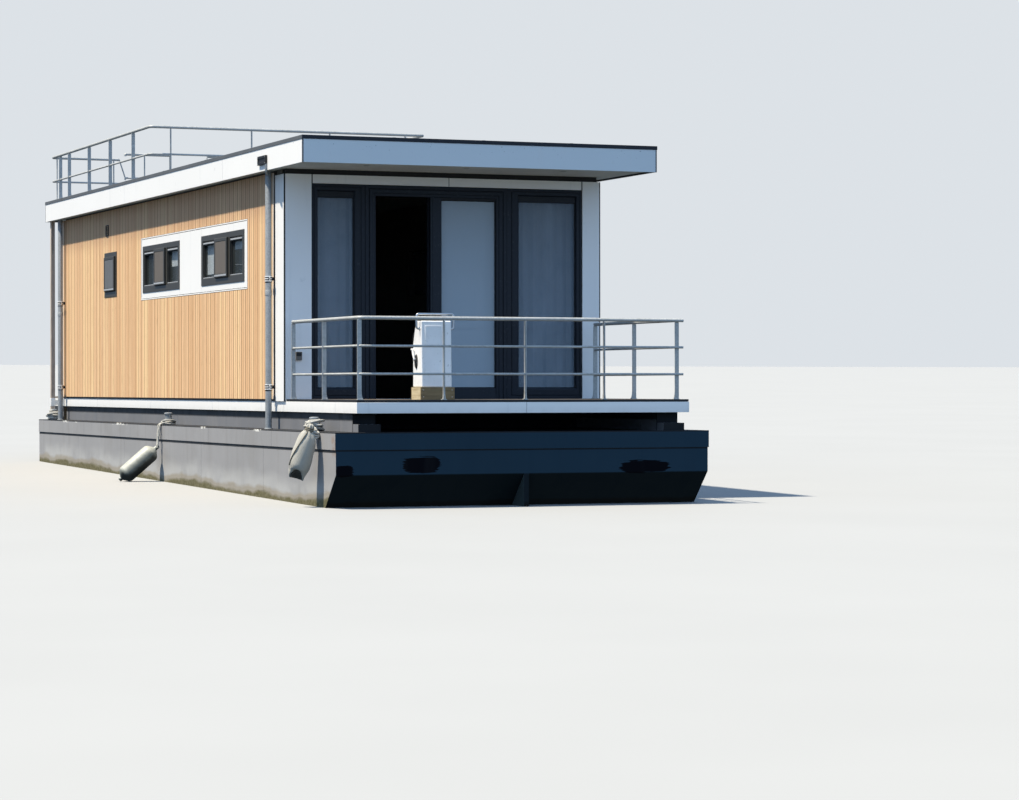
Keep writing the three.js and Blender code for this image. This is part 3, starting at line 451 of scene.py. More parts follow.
def plain_paint(name, colour, rough, spots, metal=0.0, grain=300.0, **more):
    """A sprayed or moulded surface with slight tone change, wear spots and fine grain."""
    f = Finish(name, colour, rough, metal, **more)
    f.vary(f.noise(3.0, detail=3), 0.06)
    f.tint(f.speck(22.0, 0.6, 0.72, detail=5), spots, 0.45)
    f.dull(f.noise(8.0, detail=4), min(1.0, rough + 0.16))
    f.relief(f.noise(grain, detail=2), 0.00012)
    return f


def cloth(name, colour, shade, weave, rough=0.95, **more):
    """Woven cloth: crossed threads, soft sheen and a few darker patches that are painted shade of folds."""
    f = Finish(name, colour, rough, **more)
    f.put("Sheen Weight", 0.25)
    f.put("Sheen Roughness", 0.6)
    for axis in (f.x, f.y, f.z):
        f.relief(f.calc("SINE", f.calc("MULTIPLY", axis, weave)), 0.0002)
    # Painted shade of folds, as darker patches
    f.tint(f.speck(5.0, 0.5, 0.72, detail=5), shade, 0.5)
    f.vary(f.noise(120.0, detail=2), 0.06)
    return f


def fender_skin():
    """Pale vinyl with painted shade: greyer where it turns from the sky, near black where it faces down,
    which also stands for growth.
    """
    f = Finish("fender_vinyl", (172, 176, 168), 0.5)
    f.tint(f.speck(9.0, 0.45, 0.7, detail=5), (160, 160, 146), 0.5)
    f.tint(f.speck(1.0, 0.5, 0.7, stretch=(40, 6, 40), detail=4), (132, 134, 122), 0.35)
    # Painted shade from which way each face points; the black underside also stands for growth
    facing = f.calc("ADD", f.facing_up(), f.calc("MULTIPLY_ADD", f.noise(14.0, detail=4), 0.5, -0.25))
    f.tint(f.span(facing, 0.6, 0.1), (104, 108, 100), 0.8)
    f.tint(f.span(facing, 0.1, -0.35), (26, 30, 28), 0.92)
    f.relief(f.noise(160.0, detail=2), 0.0003)
    return f


def smooth_face(name, colour, rough, scale, amount):
    """A small smooth part whose tone changes a little."""
    f = Finish(name, colour, rough)
    f.vary(f.noise(scale), amount)
    return f


hull_side = weathered_steel("hull_side", (150, 150, 151))
hull_front = weathered_steel("hull_front", (25, 51, 66), front=True)
coaming_side = weathered_steel("coaming_side", (112, 114, 118), hull=False)
white = white_board()
# A darker, bluer copy of the white board for the fascia's end boards: painted shade
white_fascia_shaded = white_board("white_fascia_shaded", (205, 214, 218))
cladding = cladding_wood()
# One dark frame plastic in two copies: the lighter, warmer one, also used at the stern, carries painted
# sheen from the sunlit side; the near black navy one is painted shade for the front
anthracite = frame_plastic("anthracite")
front_frame_shaded = frame_plastic("front_frame_shaded", (20, 27, 37), (70, 78, 88), 0.3)
# Pane copies: the pale base colours of the front and door panes are painted reflection of sky and shore
side_pane = window_glass("side_pane", (84, 92, 92), (150, 160, 164), 0.2)
front_pane = window_glass("front_pane", (120, 138, 152), (150, 168, 182))
door_pane = window_glass("door_pane", (206, 222, 232), (214, 226, 234), 0.4)
zinc = galvanised()
zinc_pipe = galvanised("zinc_pipe", (140, 146, 150), (156, 162, 166))
# The pale copy of the galvanised finish: on the pipe clamps it is a painted highlight
zinc_bright = galvanised("zinc_bright", (228, 230, 230), (244, 244, 242))
black = plain_paint("black_plastic", (22, 23, 25), 0.5, (60, 62, 64))
trim_metal = plain_paint("edge_trim", (94, 97, 100), 0.45, (128, 130, 130), 0.2)
# A near black navy copy of the trim for its bow-facing faces: painted shade
trim_front_shaded = plain_paint("edge_trim_front", (18, 25, 36), 0.6, (40, 48, 58))
vent_metal = plain_paint("vent_metal", (176, 180, 184), 0.4, (130, 132, 134), 0.2)
membrane = plain_paint("roof_membrane", (96, 100, 104), 0.85, (140, 140, 136), grain=500.0)
soffit_board = plain_paint("soffit_board", (214, 214, 210), 0.6, (184, 182, 176))
dark_timber = plank("dark_timber", (112, 92, 66), (66, 52, 38), (150, 128, 92), (3, 60, 60))
# A lighter copy of the bow paint for the skeg's sides: painted light
skeg_side = plain_paint("skeg_side", (40, 56, 60), 0.8, (22, 34, 38))
# Blue-black for the floor frame under the terrace: painted shade
under_terrace_shade = plain_paint("under_terrace_shade", (18, 23, 31), 0.8, (34, 38, 44))
# A dark brown strip beside the front corner of each side wall
dark_corner_strip = plank("dark_corner_strip", (66, 50, 42), (48, 36, 30), (90, 70, 58), (50, 50, 2))
pale_board = plank("pale_board", (242, 226, 208), (214, 190, 164), (250, 240, 228), (50, 50, 2))
post_timber = plank("post_timber", (186, 172, 158), (136, 124, 112), (214, 202, 188), (50, 50, 2))
decking = plank("decking", (92, 82, 72), (52, 46, 42), (128, 120, 110), (2.5, 46, 46))
# One plywood in two copies: the lighter one, for the plinth's sunlit left board, is painted light; the
# darker one, for the rest, is painted shade
ply = plank("plinth_ply", (124, 108, 76), (92, 78, 50), (150, 134, 96), (3, 3, 46), 0.6)
ply_lit = plank("plinth_ply_side", (186, 172, 138), (152, 134, 100), (206, 194, 164), (3, 3, 30), 0.6)
lining = plain_paint("wall_lining", (108, 104, 98), 0.8, (90, 86, 80))
sash_board = plain_paint("sash_board", (97, 91, 85), 0.6, (114, 108, 101))
sash_grey = plain_paint("sash_grey", (98, 98, 98), 0.35, (128, 130, 130))
gelcoat = plain_paint("console_gelcoat", (244, 244, 242), 0.22, (176, 176, 168), Coat_Weight=0.4)
vinyl = fender_skin()
canvas = cloth("fender_canvas", (170, 168, 158), (104, 102, 92), 1500.0)
# Dark cloth for the inside of the cover's open end: painted shade of the hollow
hollow_shade_inside = cloth("cover_inside", (60, 58, 52), (36, 34, 32), 1500.0)
voile = cloth("curtain_voile", (200, 206, 212), (172, 180, 188), 2600.0)
pale_blind = cloth("pale_blind", (192, 206, 214), (160, 174, 182), 1400.0, 0.7)
dark_blind = cloth("dark_blind", (44, 46, 50), (34, 36, 40), 1400.0, 0.8)
rope = plank("rope", (176, 175, 168), (96, 94, 86), (214, 213, 206), (60, 60, 60), 0.9)
lashing_rope = plank("lashing_rope", (112, 108, 96), (70, 66, 58), (150, 146, 134), (90, 90, 90), 0.9)
stainless = plain_paint("stainless", (196, 200, 204), 0.22, (150, 150, 150), 1.0)
motor_paint = plain_paint("motor_paint", (44, 47, 51), 0.28, (90, 92, 94), Coat_Weight=0.5)
alloy = plain_paint("propeller_metal", (128, 130, 132), 0.35, (70, 74, 70), 0.9)
lamp = smooth_face("lamp", (70, 74, 78), 0.4, 80.0, 0.05)
dial = smooth_face("dial_face", (20, 22, 24), 0.3, 30.0, 0.1)
rubber = plain_paint("seal_rubber", (14, 15, 16), 0.7, (40, 40, 40))


# Mesh building
def inset(rect, by, depth):
    """A rectangle (u0, v0, u1, v1) drawn in on all sides, with its depth as the fifth number."""
    u0, v0, u1, v1 = rect
    return (u0 + by, v0 + by, u1 - by, v1 - by, depth)


class Form:
    """Points and faces that grow into the mesh of one piece."""

    def __init__(self):
        self.points = []
        self.faces = []
        self.slots = []

    def add(self, points, faces, slot=0):
        start = len(self.points)
        self.points += [Vector(p) for p in points]
        self.faces += [[start + i for i in face] for face in faces]
        self.slots += [slot] * len(faces)
        return self

    def box(self, corner, opposite, slot=0):
        """A box between two opposite corners, whichever is the lower one."""
        (x0, x1), (y0, y1), (z0, z1) = (sorted(pair) for pair in zip(corner, opposite))
        corners = [(x, y, z) for z in (z0, z1) for y in (y0, y1) for x in (x0, x1)]
        sides = [(0, 2, 3, 1), (4, 5, 7, 6), (0, 1, 5, 4), (2, 6, 7, 3), (0, 4, 6, 2), (1, 3, 7, 5)]
        return self.add(corners, sides, slot)

    def prism(self, outline, along, slot=0):
        count = len(outline)
        far = [Vector(p) + Vector(along) for p in outline]
        faces = [list(range(count))[::-1], list(range(count, 2 * count))]
        faces += [(i, (i + 1) % count, (i + 1) % count + count, i + count) for i in range(count)]
        return self.add(list(outline) + far, faces, slot)

    def loft(self, rings, slot=0, loop=False):
        """Skin over rings of like count. loop joins the last ring to the first."""
        count = len(rings[0])
        points = [p for ring in rings for p in ring]
        faces = []
        last = len(rings) - (0 if loop else 1)
        for r in range(last):
            a, b = r * count, (r + 1) % len(rings) * count
            for i in range(count):
                j = (i + 1) % count
                faces.append((a + i, a + j, b + j, b + i))
        if not loop:
            faces.append(list(range(count))[::-1])
            faces.append([len(points) - count + i for i in range(count)])
        return self.add(points, faces, slot)

    def tube(self, path, radius, sides=12, slot=0, loop=False):
        """A round bar along a path. radius is a number, or one number for each point."""
        path = [Vector(p) for p in path]
        sizes = radius if isinstance(radius, (list, tuple)) else [radius] * len(path)
        rings = []
        side = None
        for i, p in enumerate(path):
            before = path[i - 1] if i or loop else p
            after = path[(i + 1) % len(path)] if i + 1 < len(path) or loop else p
            way = (after - before).normalized()
            if side is None:
                side = way.orthogonal().normalized()
            side = (side - way * side.dot(way)).normalized()
            other = way.cross(side)
            rings.append([p + (side * c + other * s) * sizes[i] for c, s in circle(sides)])
        return self.loft(rings, slot, loop)

    def lathe(self, profile, foot, axis, sides=24, slot=0):
        """A turned shape from (radius, distance) points along the axis."""
        axis = Vector(axis).normalized()
        side = axis.orthogonal().normalized()
        other = axis.cross(side)
        rings = []
        for radius, distance in profile:
            centre, reach = Vector(foot) + axis * distance, max(radius, 1e-4)
            rings.append([centre + (side * c + other * s) * reach for c, s in circle(sides)])
        return self.loft(rings, slot)

    def rects(self, place, steps, slot=0):
        """A mitred frame: rectangles (u0, v0, u1, v1, depth) joined in a closed loop."""
        rings = []
        for u0, v0, u1, v1, d in steps:
            rings.append([place(u0, v0, d), place(u1, v0, d), place(u1, v1, d), place(u0, v1, d)])
        return self.loft(rings, slot, loop=True)

    def frame(self, place, rect, steps, slot=0):
        """A mitred frame round a rectangle (u0, v0, u1, v1), from (inset, depth) steps."""
        return self.rects(place, [inset(rect, by, depth) for by, depth in steps], slot)

    def plate(self, place, us, vs, near, far, holes=(), slot=0):
        """A flat plate with rectangular holes (u0, v0, u1, v1), closed all round."""
        cuts_u = sorted({*us, *(h[0] for h in holes), *(h[2] for h in holes)})
        cuts_v = sorted({*vs, *(h[1] for h in holes), *(h[3] for h in holes)})
        cuts_u = [u for u in cuts_u if us[0] <= u <= us[-1]]
        cuts_v = [v for v in cuts_v if vs[0] <= v <= vs[-1]]

        def solid(i, j):
            if not (0 <= i < len(cuts_u) - 1 and 0 <= j < len(cuts_v) - 1):
                return False
            u, v = (cuts_u[i] + cuts_u[i + 1]) / 2, (cuts_v[j] + cuts_v[j + 1]) / 2
            return not any(h[0] < u < h[2] and h[1] < v < h[3] for h in holes)

        index, points, faces = {}, [], []

        def corner(i, j, side):
            if (i, j, side) not in index:
                index[i, j, side] = len(points)
                points.append(place(cuts_u[i], cuts_v[j], far if side else near))
            return index[i, j, side]

        for i in range(len(cuts_u) - 1):
            for j in range(len(cuts_v) - 1):
                if not solid(i, j):
                    continue
                ring = [(i, j), (i + 1, j), (i + 1, j + 1), (i, j + 1)]
                faces.append([corner(*c, 0) for c in ring])
                faces.append([corner(*c, 1) for c in reversed(ring)])
                for k, (di, dj) in enumerate(((0, -1), (1, 0), (0, 1), (-1, 0))):
                    if not solid(i + di, j + dj):
                        a, b = ring[k], ring[(k + 1) % 4]
                        faces.append([corner(*b, 0), corner(*a, 0), corner(*a, 1), corner(*b, 1)])
        return self.add(points, faces, slot)

    def mirrored(self):
        made = Form()
        made.points = [Vector((-p.x, p.y, p.z)) for p in self.points]
        made.faces = [list(reversed(face)) for face in self.faces]
        made.slots = list(self.slots)
        return made

    def both(self):
        """This form and its mirror image on the other side of the boat."""
        other = self.mirrored()
        start = len(self.points)
        self.points += other.points
        self.faces += [[start + i for i in face] for face in other.faces]
        self.slots += other.slots
        return self

    def mesh(self, name):
        made = bpy.data.meshes.new(name)
        made.from_pydata([tuple(p) for p in self.points], [], self.faces)
        return made


def piece(name, form, finishes, slot=None, body="boat", replaces=(), bevel=0.0, smooth=0.0, segments=2):
    """Makes the form a piece that rides on a body. bevel is a width, smooth an angle in degrees."""
    mesh = form.mesh(name)
    for finish in finishes if isinstance(finishes, (list, tuple)) else [finishes]:
        mesh.materials.append(finish.material)
    mesh.polygons.foreach_set("material_index", form.slots)
    work = bmesh.new()
    work.from_mesh(mesh)
    bmesh.ops.recalc_face_normals(work, faces=work.faces)
    work.to_mesh(mesh)
    work.free()
    if smooth:
        mesh.polygons.foreach_set("use_smooth", [True] * len(mesh.polygons))
        mesh.set_sharp_from_angle(angle=math.radians(smooth))
    thing = placed(name, mesh)
    if bevel:
        made = thing.modifiers.new("bevel", "BEVEL")
        made.width = bevel
        made.segments = segments
        made.limit_method = "ANGLE"
        made.angle_limit = math.radians(35)
    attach(thing, body)
    if replaces:
        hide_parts(*replaces)
    return thing


def pair(name, form, finishes, slot, node, bevel):
    """A piece on the left side and its mirror image on the right. {} in a name is the side."""
    for side, made in (("left", form), ("right", form.mirrored())):
        piece(name.format(side), made, finishes, slot, replaces=[node.format(side)], bevel=bevel)


def dress(node, finish):
    """Gives a CAD node that stays its material."""
    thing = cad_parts[node]
    thing.data.materials.clear()
    thing.data.materials.append(finish.material)


def rounded(points, radius):
    """The path with its corners turned in arcs."""
    points = [Vector(p) for p in points]
    made = [points[0]]
    steps = 5
    for before, corner, after in zip(points, points[1:], points[2:]):
        back, ahead = (before - corner).normalized(), (after - corner).normalized()
        start, end = corner + back * radius, corner + ahead * radius
        for k in range(steps + 1):
            t = k / steps
            made.append(start * (1 - t) ** 2 + corner * 2 * t * (1 - t) + end * t**2)
    made.append(points[-1])
    return made


def bolt(form, place, direction, radius=0.008, slot=0):
    """A hexagon head on a washer."""
    washer = [(radius * 1.5, 0), (radius * 1.5, 0.0016), (radius, 0.0016)]
    form.lathe(washer + [(radius, 0.008), (radius * 0.8, 0.0095)], place, direction, 6, slot)


# Where a flat face stands: along the boat on the left wall, or across it on the front or rear
def on_left(x=-WALL):
    return lambda u, v, d: Vector((x - d, u, v))


def on_front(y):
    return lambda u, v, d: Vector((u, y - d, v))


def on_rear(y):
    return lambda u, v, d: Vector((u, y + d, v))


# Hull
def make_hull():
    front, rear, inner = -7.265, 7.265, 2.24
    knuckle, chamfer, deck = 0.821, 0.3, DECK - 0.012
    outline = [
        (-inner, front, deck),
        (-inner, front, knuckle),
        (-inner, front + knuckle, 0),
        (-inner, rear - chamfer, 0),
        (-inner, rear, chamfer),
        (-inner, rear, deck),
    ]
    form = Form().prism(outline, (2 * inner, 0, 0))
    form.box((-HULL_HALF, -HALF_LENGTH, DECK - 0.193), (HULL_HALF, HALF_LENGTH, DECK))
    skeg = [(-0.03, front, knuckle + 0.001), (-0.03, front, 0), (-0.03, front + knuckle + 0.001, 0)]
    form.prism(skeg, (0.06, 0, 0), 2)
    for distance in (2.35, 5.02, 8.9, 11.6, 14.19):
        y = aft(distance)
        for side in (-1, 1):
            band, plate = side * 2.245, side * 2.236
            form.box((band - 0.0068, y - 0.003, DECK - 0.188), (band + 0.0068, y + 0.003, DECK - 0.004))
            form.box((plate - 0.006, y + 0.35, 0.02), (plate + 0.006, y + 0.356, DECK - 0.2))
    for k, face in enumerate(form.faces):
        a, b, c = (form.points[i] for i in face[:3])
        normal = (b - a).cross(c - a)
        if normal.length > 0 and abs(normal.normalized().y) > 0.5 and a.y < 0:
            form.slots[k] = 1
    finishes = [hull_side, hull_front, skeg_side]
    piece("hull_plates", form, finishes, "hull_paint", replaces=["hull"], bevel=0.004)


def make_bollards():
    form = Form()
    foot = [(0.078, 0), (0.078, 0.008), (0.05, 0.012), (0.045, 0.02), (0.045, 0.13), (0.048, 0.138)]
    head = [(0.053, 0.141), (0.055, 0.146), (0.055, 0.158), (0.052, 0.163), (0.03, 0.166), (0.0, 0.167)]
    for distance in BOLLARDS:
        form.lathe(foot + head, (BOLLARD_X, aft(distance), DECK - 0.004), UPWARD, 28)
        for x, y in ((-0.064, 0), (0.064, 0), (0, 0.064), (0, -0.064)):
            bolt(form, (BOLLARD_X + x, aft(distance) + y, DECK + 0.003), UPWARD, 0.006)
    piece("bollards", form.both(), zinc_pipe, "galvanised", smooth=40)


def make_coaming():
    """A beam on each side: plates on a core, with a lower block and dark end plates at the bow."""
    outer, inner, low, high = -1.965, -1.705, DECK + GAP, BAND_LOW - GAP
    form = Form()
    form.box((outer + 0.008, aft(0.245), low), (inner - 0.007, aft(13.89), BAND_LOW - 0.002), 1)
    form.box((outer, aft(0.061), low), (inner, aft(0.2395), DECK + 0.087))
    joints = [0.241, 0.7, 2.966, 5.2, 7.5, 9.8, 12.0, WALL_REAR]
    for start, end in zip(joints, joints[1:]):
        for x, thick in ((outer, 0.02), (inner, -0.02)):
            form.box((x, aft(start) + 0.002, low), (x + thick, aft(end) - 0.002, high))
    form.box((outer, aft(0.24), low), (inner, aft(0.258), high), 1)
    form.box((outer, aft(0.058), low), (inner, aft(0.0605), DECK + 0.087), 1)
    pair("coaming_plates_{}", form, [coaming_side, hull_front], "coaming_paint", "coaming_{}", 0.003)


# Floor edge and terrace
def make_deck_band():
    form = Form()
    x, low, top = 2.0, BAND_LOW, BAND_TOP - 0.002
    thick, gap = 0.012, 0.003
    joints = [0.0, 0.757, 2.668, 5.7, 8.75, 11.8, WALL_REAR]
    for side in (-1, 1):
        for start, end in zip(joints, joints[1:]):
            first = aft(start) + (gap if start else 0)
            form.box((side * x, first, low), (side * (x - thick), aft(end) - gap, top))
    for start, end in ((-x + 0.0125, -0.0025), (0.0025, x - 0.0125)):
        form.box((start, aft(0), low), (end, aft(thick), top))
    low, top = BAND_LOW + 0.004, BAND_TOP - 0.004
    form.box((-1.99, aft(0.0125), low), (1.99, aft(0.02), top), 1)
    for side in (-1, 1):
        form.box((side * 1.9875, aft(0.02), low), (side * 1.98, aft(WALL_REAR), top), 1)
    piece("deck_boards_white", form, [white, black], "white_panel", replaces=["deck_band"], bevel=0.0015)


def make_decking():
    form = Form()
    start, end, count, gap = aft(0.026), aft(WALL_FRONT) - 0.004, 18, 0.003
    step = (end - start) / count
    screw = [(0.004, 0), (0.004, 0.0006), (0.001, 0.0006)]
    for i in range(count):
        first = start + i * step
        form.box((-1.972, first + gap, WALL_LOW), (1.972, first + step - gap, FLOOR_TOP))
        for x in (-1.8, -0.6, 0.6, 1.8):
            for share in (0.25, 0.75):
                form.lathe(screw, (x, first + share * step, FLOOR_TOP - 0.0002), UPWARD, 8, 1)
    piece("terrace_boards", form, [decking, stainless], "decking", replaces=["terrace_decking"], bevel=0.002)
    edge = Form()
    edge.box((-1.996, aft(0.004), WALL_LOW), (1.996, aft(0.024), FLOOR_TOP + 0.001))
    for side in (-1, 1):
        edge.box((side * 1.996, aft(0.025), WALL_LOW), (side * 1.976, end, FLOOR_TOP + 0.001))
    piece("terrace_edge_strip", edge, black, "black_plastic", bevel=0.003)


def flat_post(form, x, y, low, high, across):
    """A flat bar under the rail; its foot flares, on side runs only inwards."""
    foot = [(0.025, 0.1), (0.0275, 0.06), (0.034, 0.028), (0.042, 0.008)]
    rise, thick, plate = high - low, 0.01, 0.008
    top = [(0.011, rise), (0.02, rise - 0.004), (0.025, rise - 0.012)]
    flared = top + foot
    if across == "x":
        inward = 1 if x < 0 else -1
        straight = [(-inward * u, low + v) for u, v in reversed(top + [(0.025, plate)])]
        outline = [(inward * u, low + v) for u, v in flared] + straight
        form.prism([(x + u, y - thick / 2, v) for u, v in outline], (0, thick, 0))
        form.box((x + inward * 0.042, y - 0.02, low), (x - inward * 0.026, y + 0.02, low + plate))
        form.lathe([(0.008, -0.0085), (0.008, 0.0085)], (x, y, high - 0.035), AFTWARD, 12)
        bolts = [(0.03 * inward, -0.013), (0.03 * inward, 0.013)]
    else:
        half = [(u, low + v) for u, v in flared]
        outline = half + [(-u, v) for u, v in reversed(half)]
        form.prism([(x - thick / 2, y + u, v) for u, v in outline], (thick, 0, 0))
        form.box((x - 0.02, y - 0.042, low), (x + 0.02, y + 0.042, low + plate))
        bolts = [(-0.013, -0.03), (0.013, 0.03)]
    for u, v in bolts:
        bolt(form, (x + u, y + v, low + plate), UPWARD, 0.0055)


def make_terrace_railing():
    rows = [(up(2.094), 0.021, 0.07), (up(1.786), 0.0135, 0.05), (up(1.479), 0.0135, 0.05)]
    left, right, front, rear = -1.965, 1.875, aft(0.045), aft(2.415)
    pipes = Form()
    for z, radius, bend in rows:
        pipes.tube(rounded([(left, rear, z), (left, front, z), (1.943, front, z)], bend), radius, 16)
        pipes.tube([(right, front + 0.004, z), (right, rear, z)], radius * 0.96, 16)
    piece("terrace_rail_pipes", pipes, zinc, "galvanised", replaces=["terrace_railing"], smooth=45)
    posts = Form()
    low, high = FLOOR_TOP + GAP, rows[0][0] - 0.015
    for x in (-0.97, 0.0, 0.96):
        flat_post(posts, x, front, low, high, "y")
    for x, shift in ((left, 0.012), (right, -0.005)):
        flat_post(posts, x + shift, front + 0.012, low, high, "x")
        for distance in (1.25, 2.4):
            flat_post(posts, x, aft(distance), low, high, "x")
    piece("terrace_rail_posts", posts, zinc, "galvanised", bevel=0.0015)


def make_roof_railing():
    """Two rails round the roof terrace; the ladder's gap at the stern has its rails raised."""
    left, right, front, rear = -2.1, 1.85, aft(8.4), aft(14.24)
    gate, ladder_left, ladder_right = -0.955, -0.24, 0.36
    top, middle, raised = up(4.87), up(4.5), 0.09
    pipes = Form()
    for z, radius, bend in ((top, 0.021, 0.07), (middle, 0.0135, 0.05)):
        lift = z + raised
        path = [(-1.05, rear, z), (left, rear, z), (left, front, z), (right, front, z), (right, rear, z)]
        pipes.tube(rounded(path, bend), radius, 16)
        end = [(gate, rear, lift - 0.03), (gate, rear, lift), (ladder_left, rear, lift)]
        pipes.tube(rounded(end, 0.015), radius, 16)
        pipes.tube([(ladder_right, rear, lift), (right, rear, lift)], radius, 16)
    pipes.tube([(-1.05, rear, top), (gate, rear, middle + raised)], 0.01, 12)
    piece("roof_rail_pipes", pipes, zinc, "galvanised", replaces=["roof_railing"], smooth=45)
    posts = Form()
    edge, deck, high = TRIM_TOP + GAP, ROOF_DECK + GAP, top - 0.015
    for distance in (9.3, 10.6, 11.86, 13.12, 13.7):
        flat_post(posts, left, aft(distance), edge, high, "x")
        flat_post(posts, right, aft(distance), deck, high, "x")
    for x in (-1.81, -0.665, 0.463, 1.576):
        flat_post(posts, x, front, deck, high, "y")
    for x in (-2.03, -1.138):
        flat_post(posts, x, rear, edge, high, "y")
    for x in (-0.647, ladder_left, ladder_right, 1.1, 1.826):
        flat_post(posts, x, rear, edge, high + raised, "y")
    piece("roof_rail_posts", posts, zinc, "galvanised", bevel=0.0015)


# Walls
BOARD_DEPTH = 0.012
WINDOWS = {"front": (4.2, 6.12), "middle": (7.18, 9.07), "small": (10.54, 11.25)}
WINDOW_LOW = up(2.63)
WINDOW_HIGH = up(3.27)
PANEL = (4.1, 2.555, 9.15, 3.365)
PANEL_ROOM = 0.026


def free_spans(start, end, blocked):
    """What is left of start to end once the blocked spans are taken out."""
    spans = [(start, end)]
    for a, b in blocked:
        left = []
        for s, e in spans:
            if b <= s or a >= e:
                left.append((s, e))
                continue
            if a > s:
                left.append((s, a))
            if b < e:
                left.append((b, e))
        spans = left
    return [(s, e) for s, e in spans if e - s > 0.004]


def board_profile(start, end):
    """Face of one board as (along, depth) points: rounded edges and a groove in its middle."""
    edge = [(0.0025, -BOARD_DEPTH), (0.0025, -0.005), (0.0055, -0.001), (0.0095, 0)]
    groove = [(0.0045, 0), (0.002, -0.0045)]
    middle = (start + end) / 2
    made = [(start + u, d) for u, d in edge] + [(middle - u, d) for u, d in groove]
    made += [(middle + u, d) for u, d in reversed(groove)] + [(end - u, d) for u, d in reversed(edge)]
    return made


def clipped(profile, low, high):
    """The part of a profile between low and high, cut square at its ends."""
    made = []
    for (u0, d0), (u1, d1) in zip(profile, profile[1:]):
        for u, d in ((u0, d0), (u1, d1)):
            if low <= u <= high and (not made or made[-1] != (u, d)):
                made.append((u, d))
        for edge in (low, high):
            if u0 < edge < u1:
                made.append((edge, d0 + (d1 - d0) * (edge - u0) / (u1 - u0)))
    made = sorted(set(made), key=lambda p: (p[0], p[1] if p[0] < (low + high) / 2 else -p[1]))
    if made[0][1] > -BOARD_DEPTH:
        made.insert(0, (made[0][0], -BOARD_DEPTH))
    if made[-1][1] > -BOARD_DEPTH:
        made.append((made[-1][0], -BOARD_DEPTH))
    return made


def boards(form, place, start, end, low, high, openings):
    """Upright boards side by side, cut round openings (u0, v0, u1, v1)."""
    first = math.floor((start - BOARD_PHASE) / BOARD)
    for i in range(first, math.ceil((end - BOARD_PHASE) / BOARD)):
        a, b = BOARD_PHASE + i * BOARD, BOARD_PHASE + (i + 1) * BOARD
        near = [o for o in openings if o[0] < b and o[2] > a]
        levels = sorted({low, high, *(v for o in near for v in (o[1], o[3]) if low < v < high)})
        runs = []
        for v0, v1 in zip(levels, levels[1:]):
            blocked = [(o[0], o[2]) for o in near if o[1] < (v0 + v1) / 2 < o[3]]
            spans = free_spans(max(a, start), min(b, end), blocked)
            if runs and runs[-1][2] == spans:
                runs[-1][1] = v1
            else:
                runs.append([v0, v1, spans])
        for v0, v1, spans in runs:
            for s, e in spans:
                outline = clipped(board_profile(a, b), s, e)
                if len(outline) < 4:
                    continue
                bottom = [place(u, v0, d) for u, d in outline]
                top = [place(u, v1, d) for u, d in outline]
                form.loft([bottom, top])


def window_hole(window):
    """The hole for a window in the side wall, as (u0, v0, u1, v1)."""
    start, end = WINDOWS[window]
    return (aft(start) - GAP, WINDOW_LOW - GAP, aft(end) + GAP, WINDOW_HIGH + GAP)


def make_side_walls():
    low, high, raised, face = WALL_LOW, SIDE_TOP, WALL_LOW + 0.024, -WALL + 0.012
    start, end = aft(WALL_FRONT + CORNER_LEG + GAP), aft(WALL_REAR)
    holes = [window_hole(window) for window in WINDOWS]
    place = on_left()
    core = Form()
    core.plate(place, (start, end), (low, CEILING), -WALL_THICK, -0.06, holes, 1)
    # The black outer layer of the core shows in the board joints, under the boards' foot and in the vent gap
    # under the soffit: insect mesh, and painted shade of these gaps
    core.plate(place, (start, end), (low, SIDE_TOP), -0.06, -0.0125, holes)
    core.plate(place, (start, end), (SIDE_TOP + GAP, CEILING), -0.0598, -0.05)
    u0, u1 = aft(PANEL[0]) - PANEL_ROOM, aft(PANEL[2]) + PANEL_ROOM
    v0, v1 = up(PANEL[1]) - PANEL_ROOM, up(PANEL[3]) + PANEL_ROOM
    skin, strip = Form(), 0.06
    boards(skin, place, start + strip + 0.05, end - 0.035, raised, high, [(u0, v0, u1, v1), holes[2]])
    edge = Form()
    edge.box((-WALL + 0.004, start + 0.001, low), (face, start + strip - 0.004, high), 0)
    edge.box((-WALL, start + strip, raised), (face, start + strip + 0.042, high), 1)
    edge.box((-WALL, end - 0.033, raised), (face, end, high), 1)
    near, far, turn = 0.005, 0.019, 0.0195
    for a, b, c, d in (
        (u0 + near, v0 + near, u1 - near, v0 + far),
        (u0 + near, v1 - far, u1 - near, v1 - near),
        (u0 + near, v0 + turn, u0 + far, v1 - turn),
        (u1 - far, v0 + turn, u1 - near, v1 - turn),
    ):
        edge.box((-WALL - 0.003, a, b), (face, c, d), 2)
    strips = [dark_corner_strip, pale_board, white]
    for side in ("left", "right"):
        if side == "right":
            core, skin, edge = core.mirrored(), skin.mirrored(), edge.mirrored()
        piece("wall_core_" + side, core, [black, lining], "cladding", replaces=["wall_" + side])
        piece("wall_boards_" + side, skin, cladding, "cladding")
        piece("wall_edge_strips_" + side, edge, strips, "cladding", bevel=0.0015)


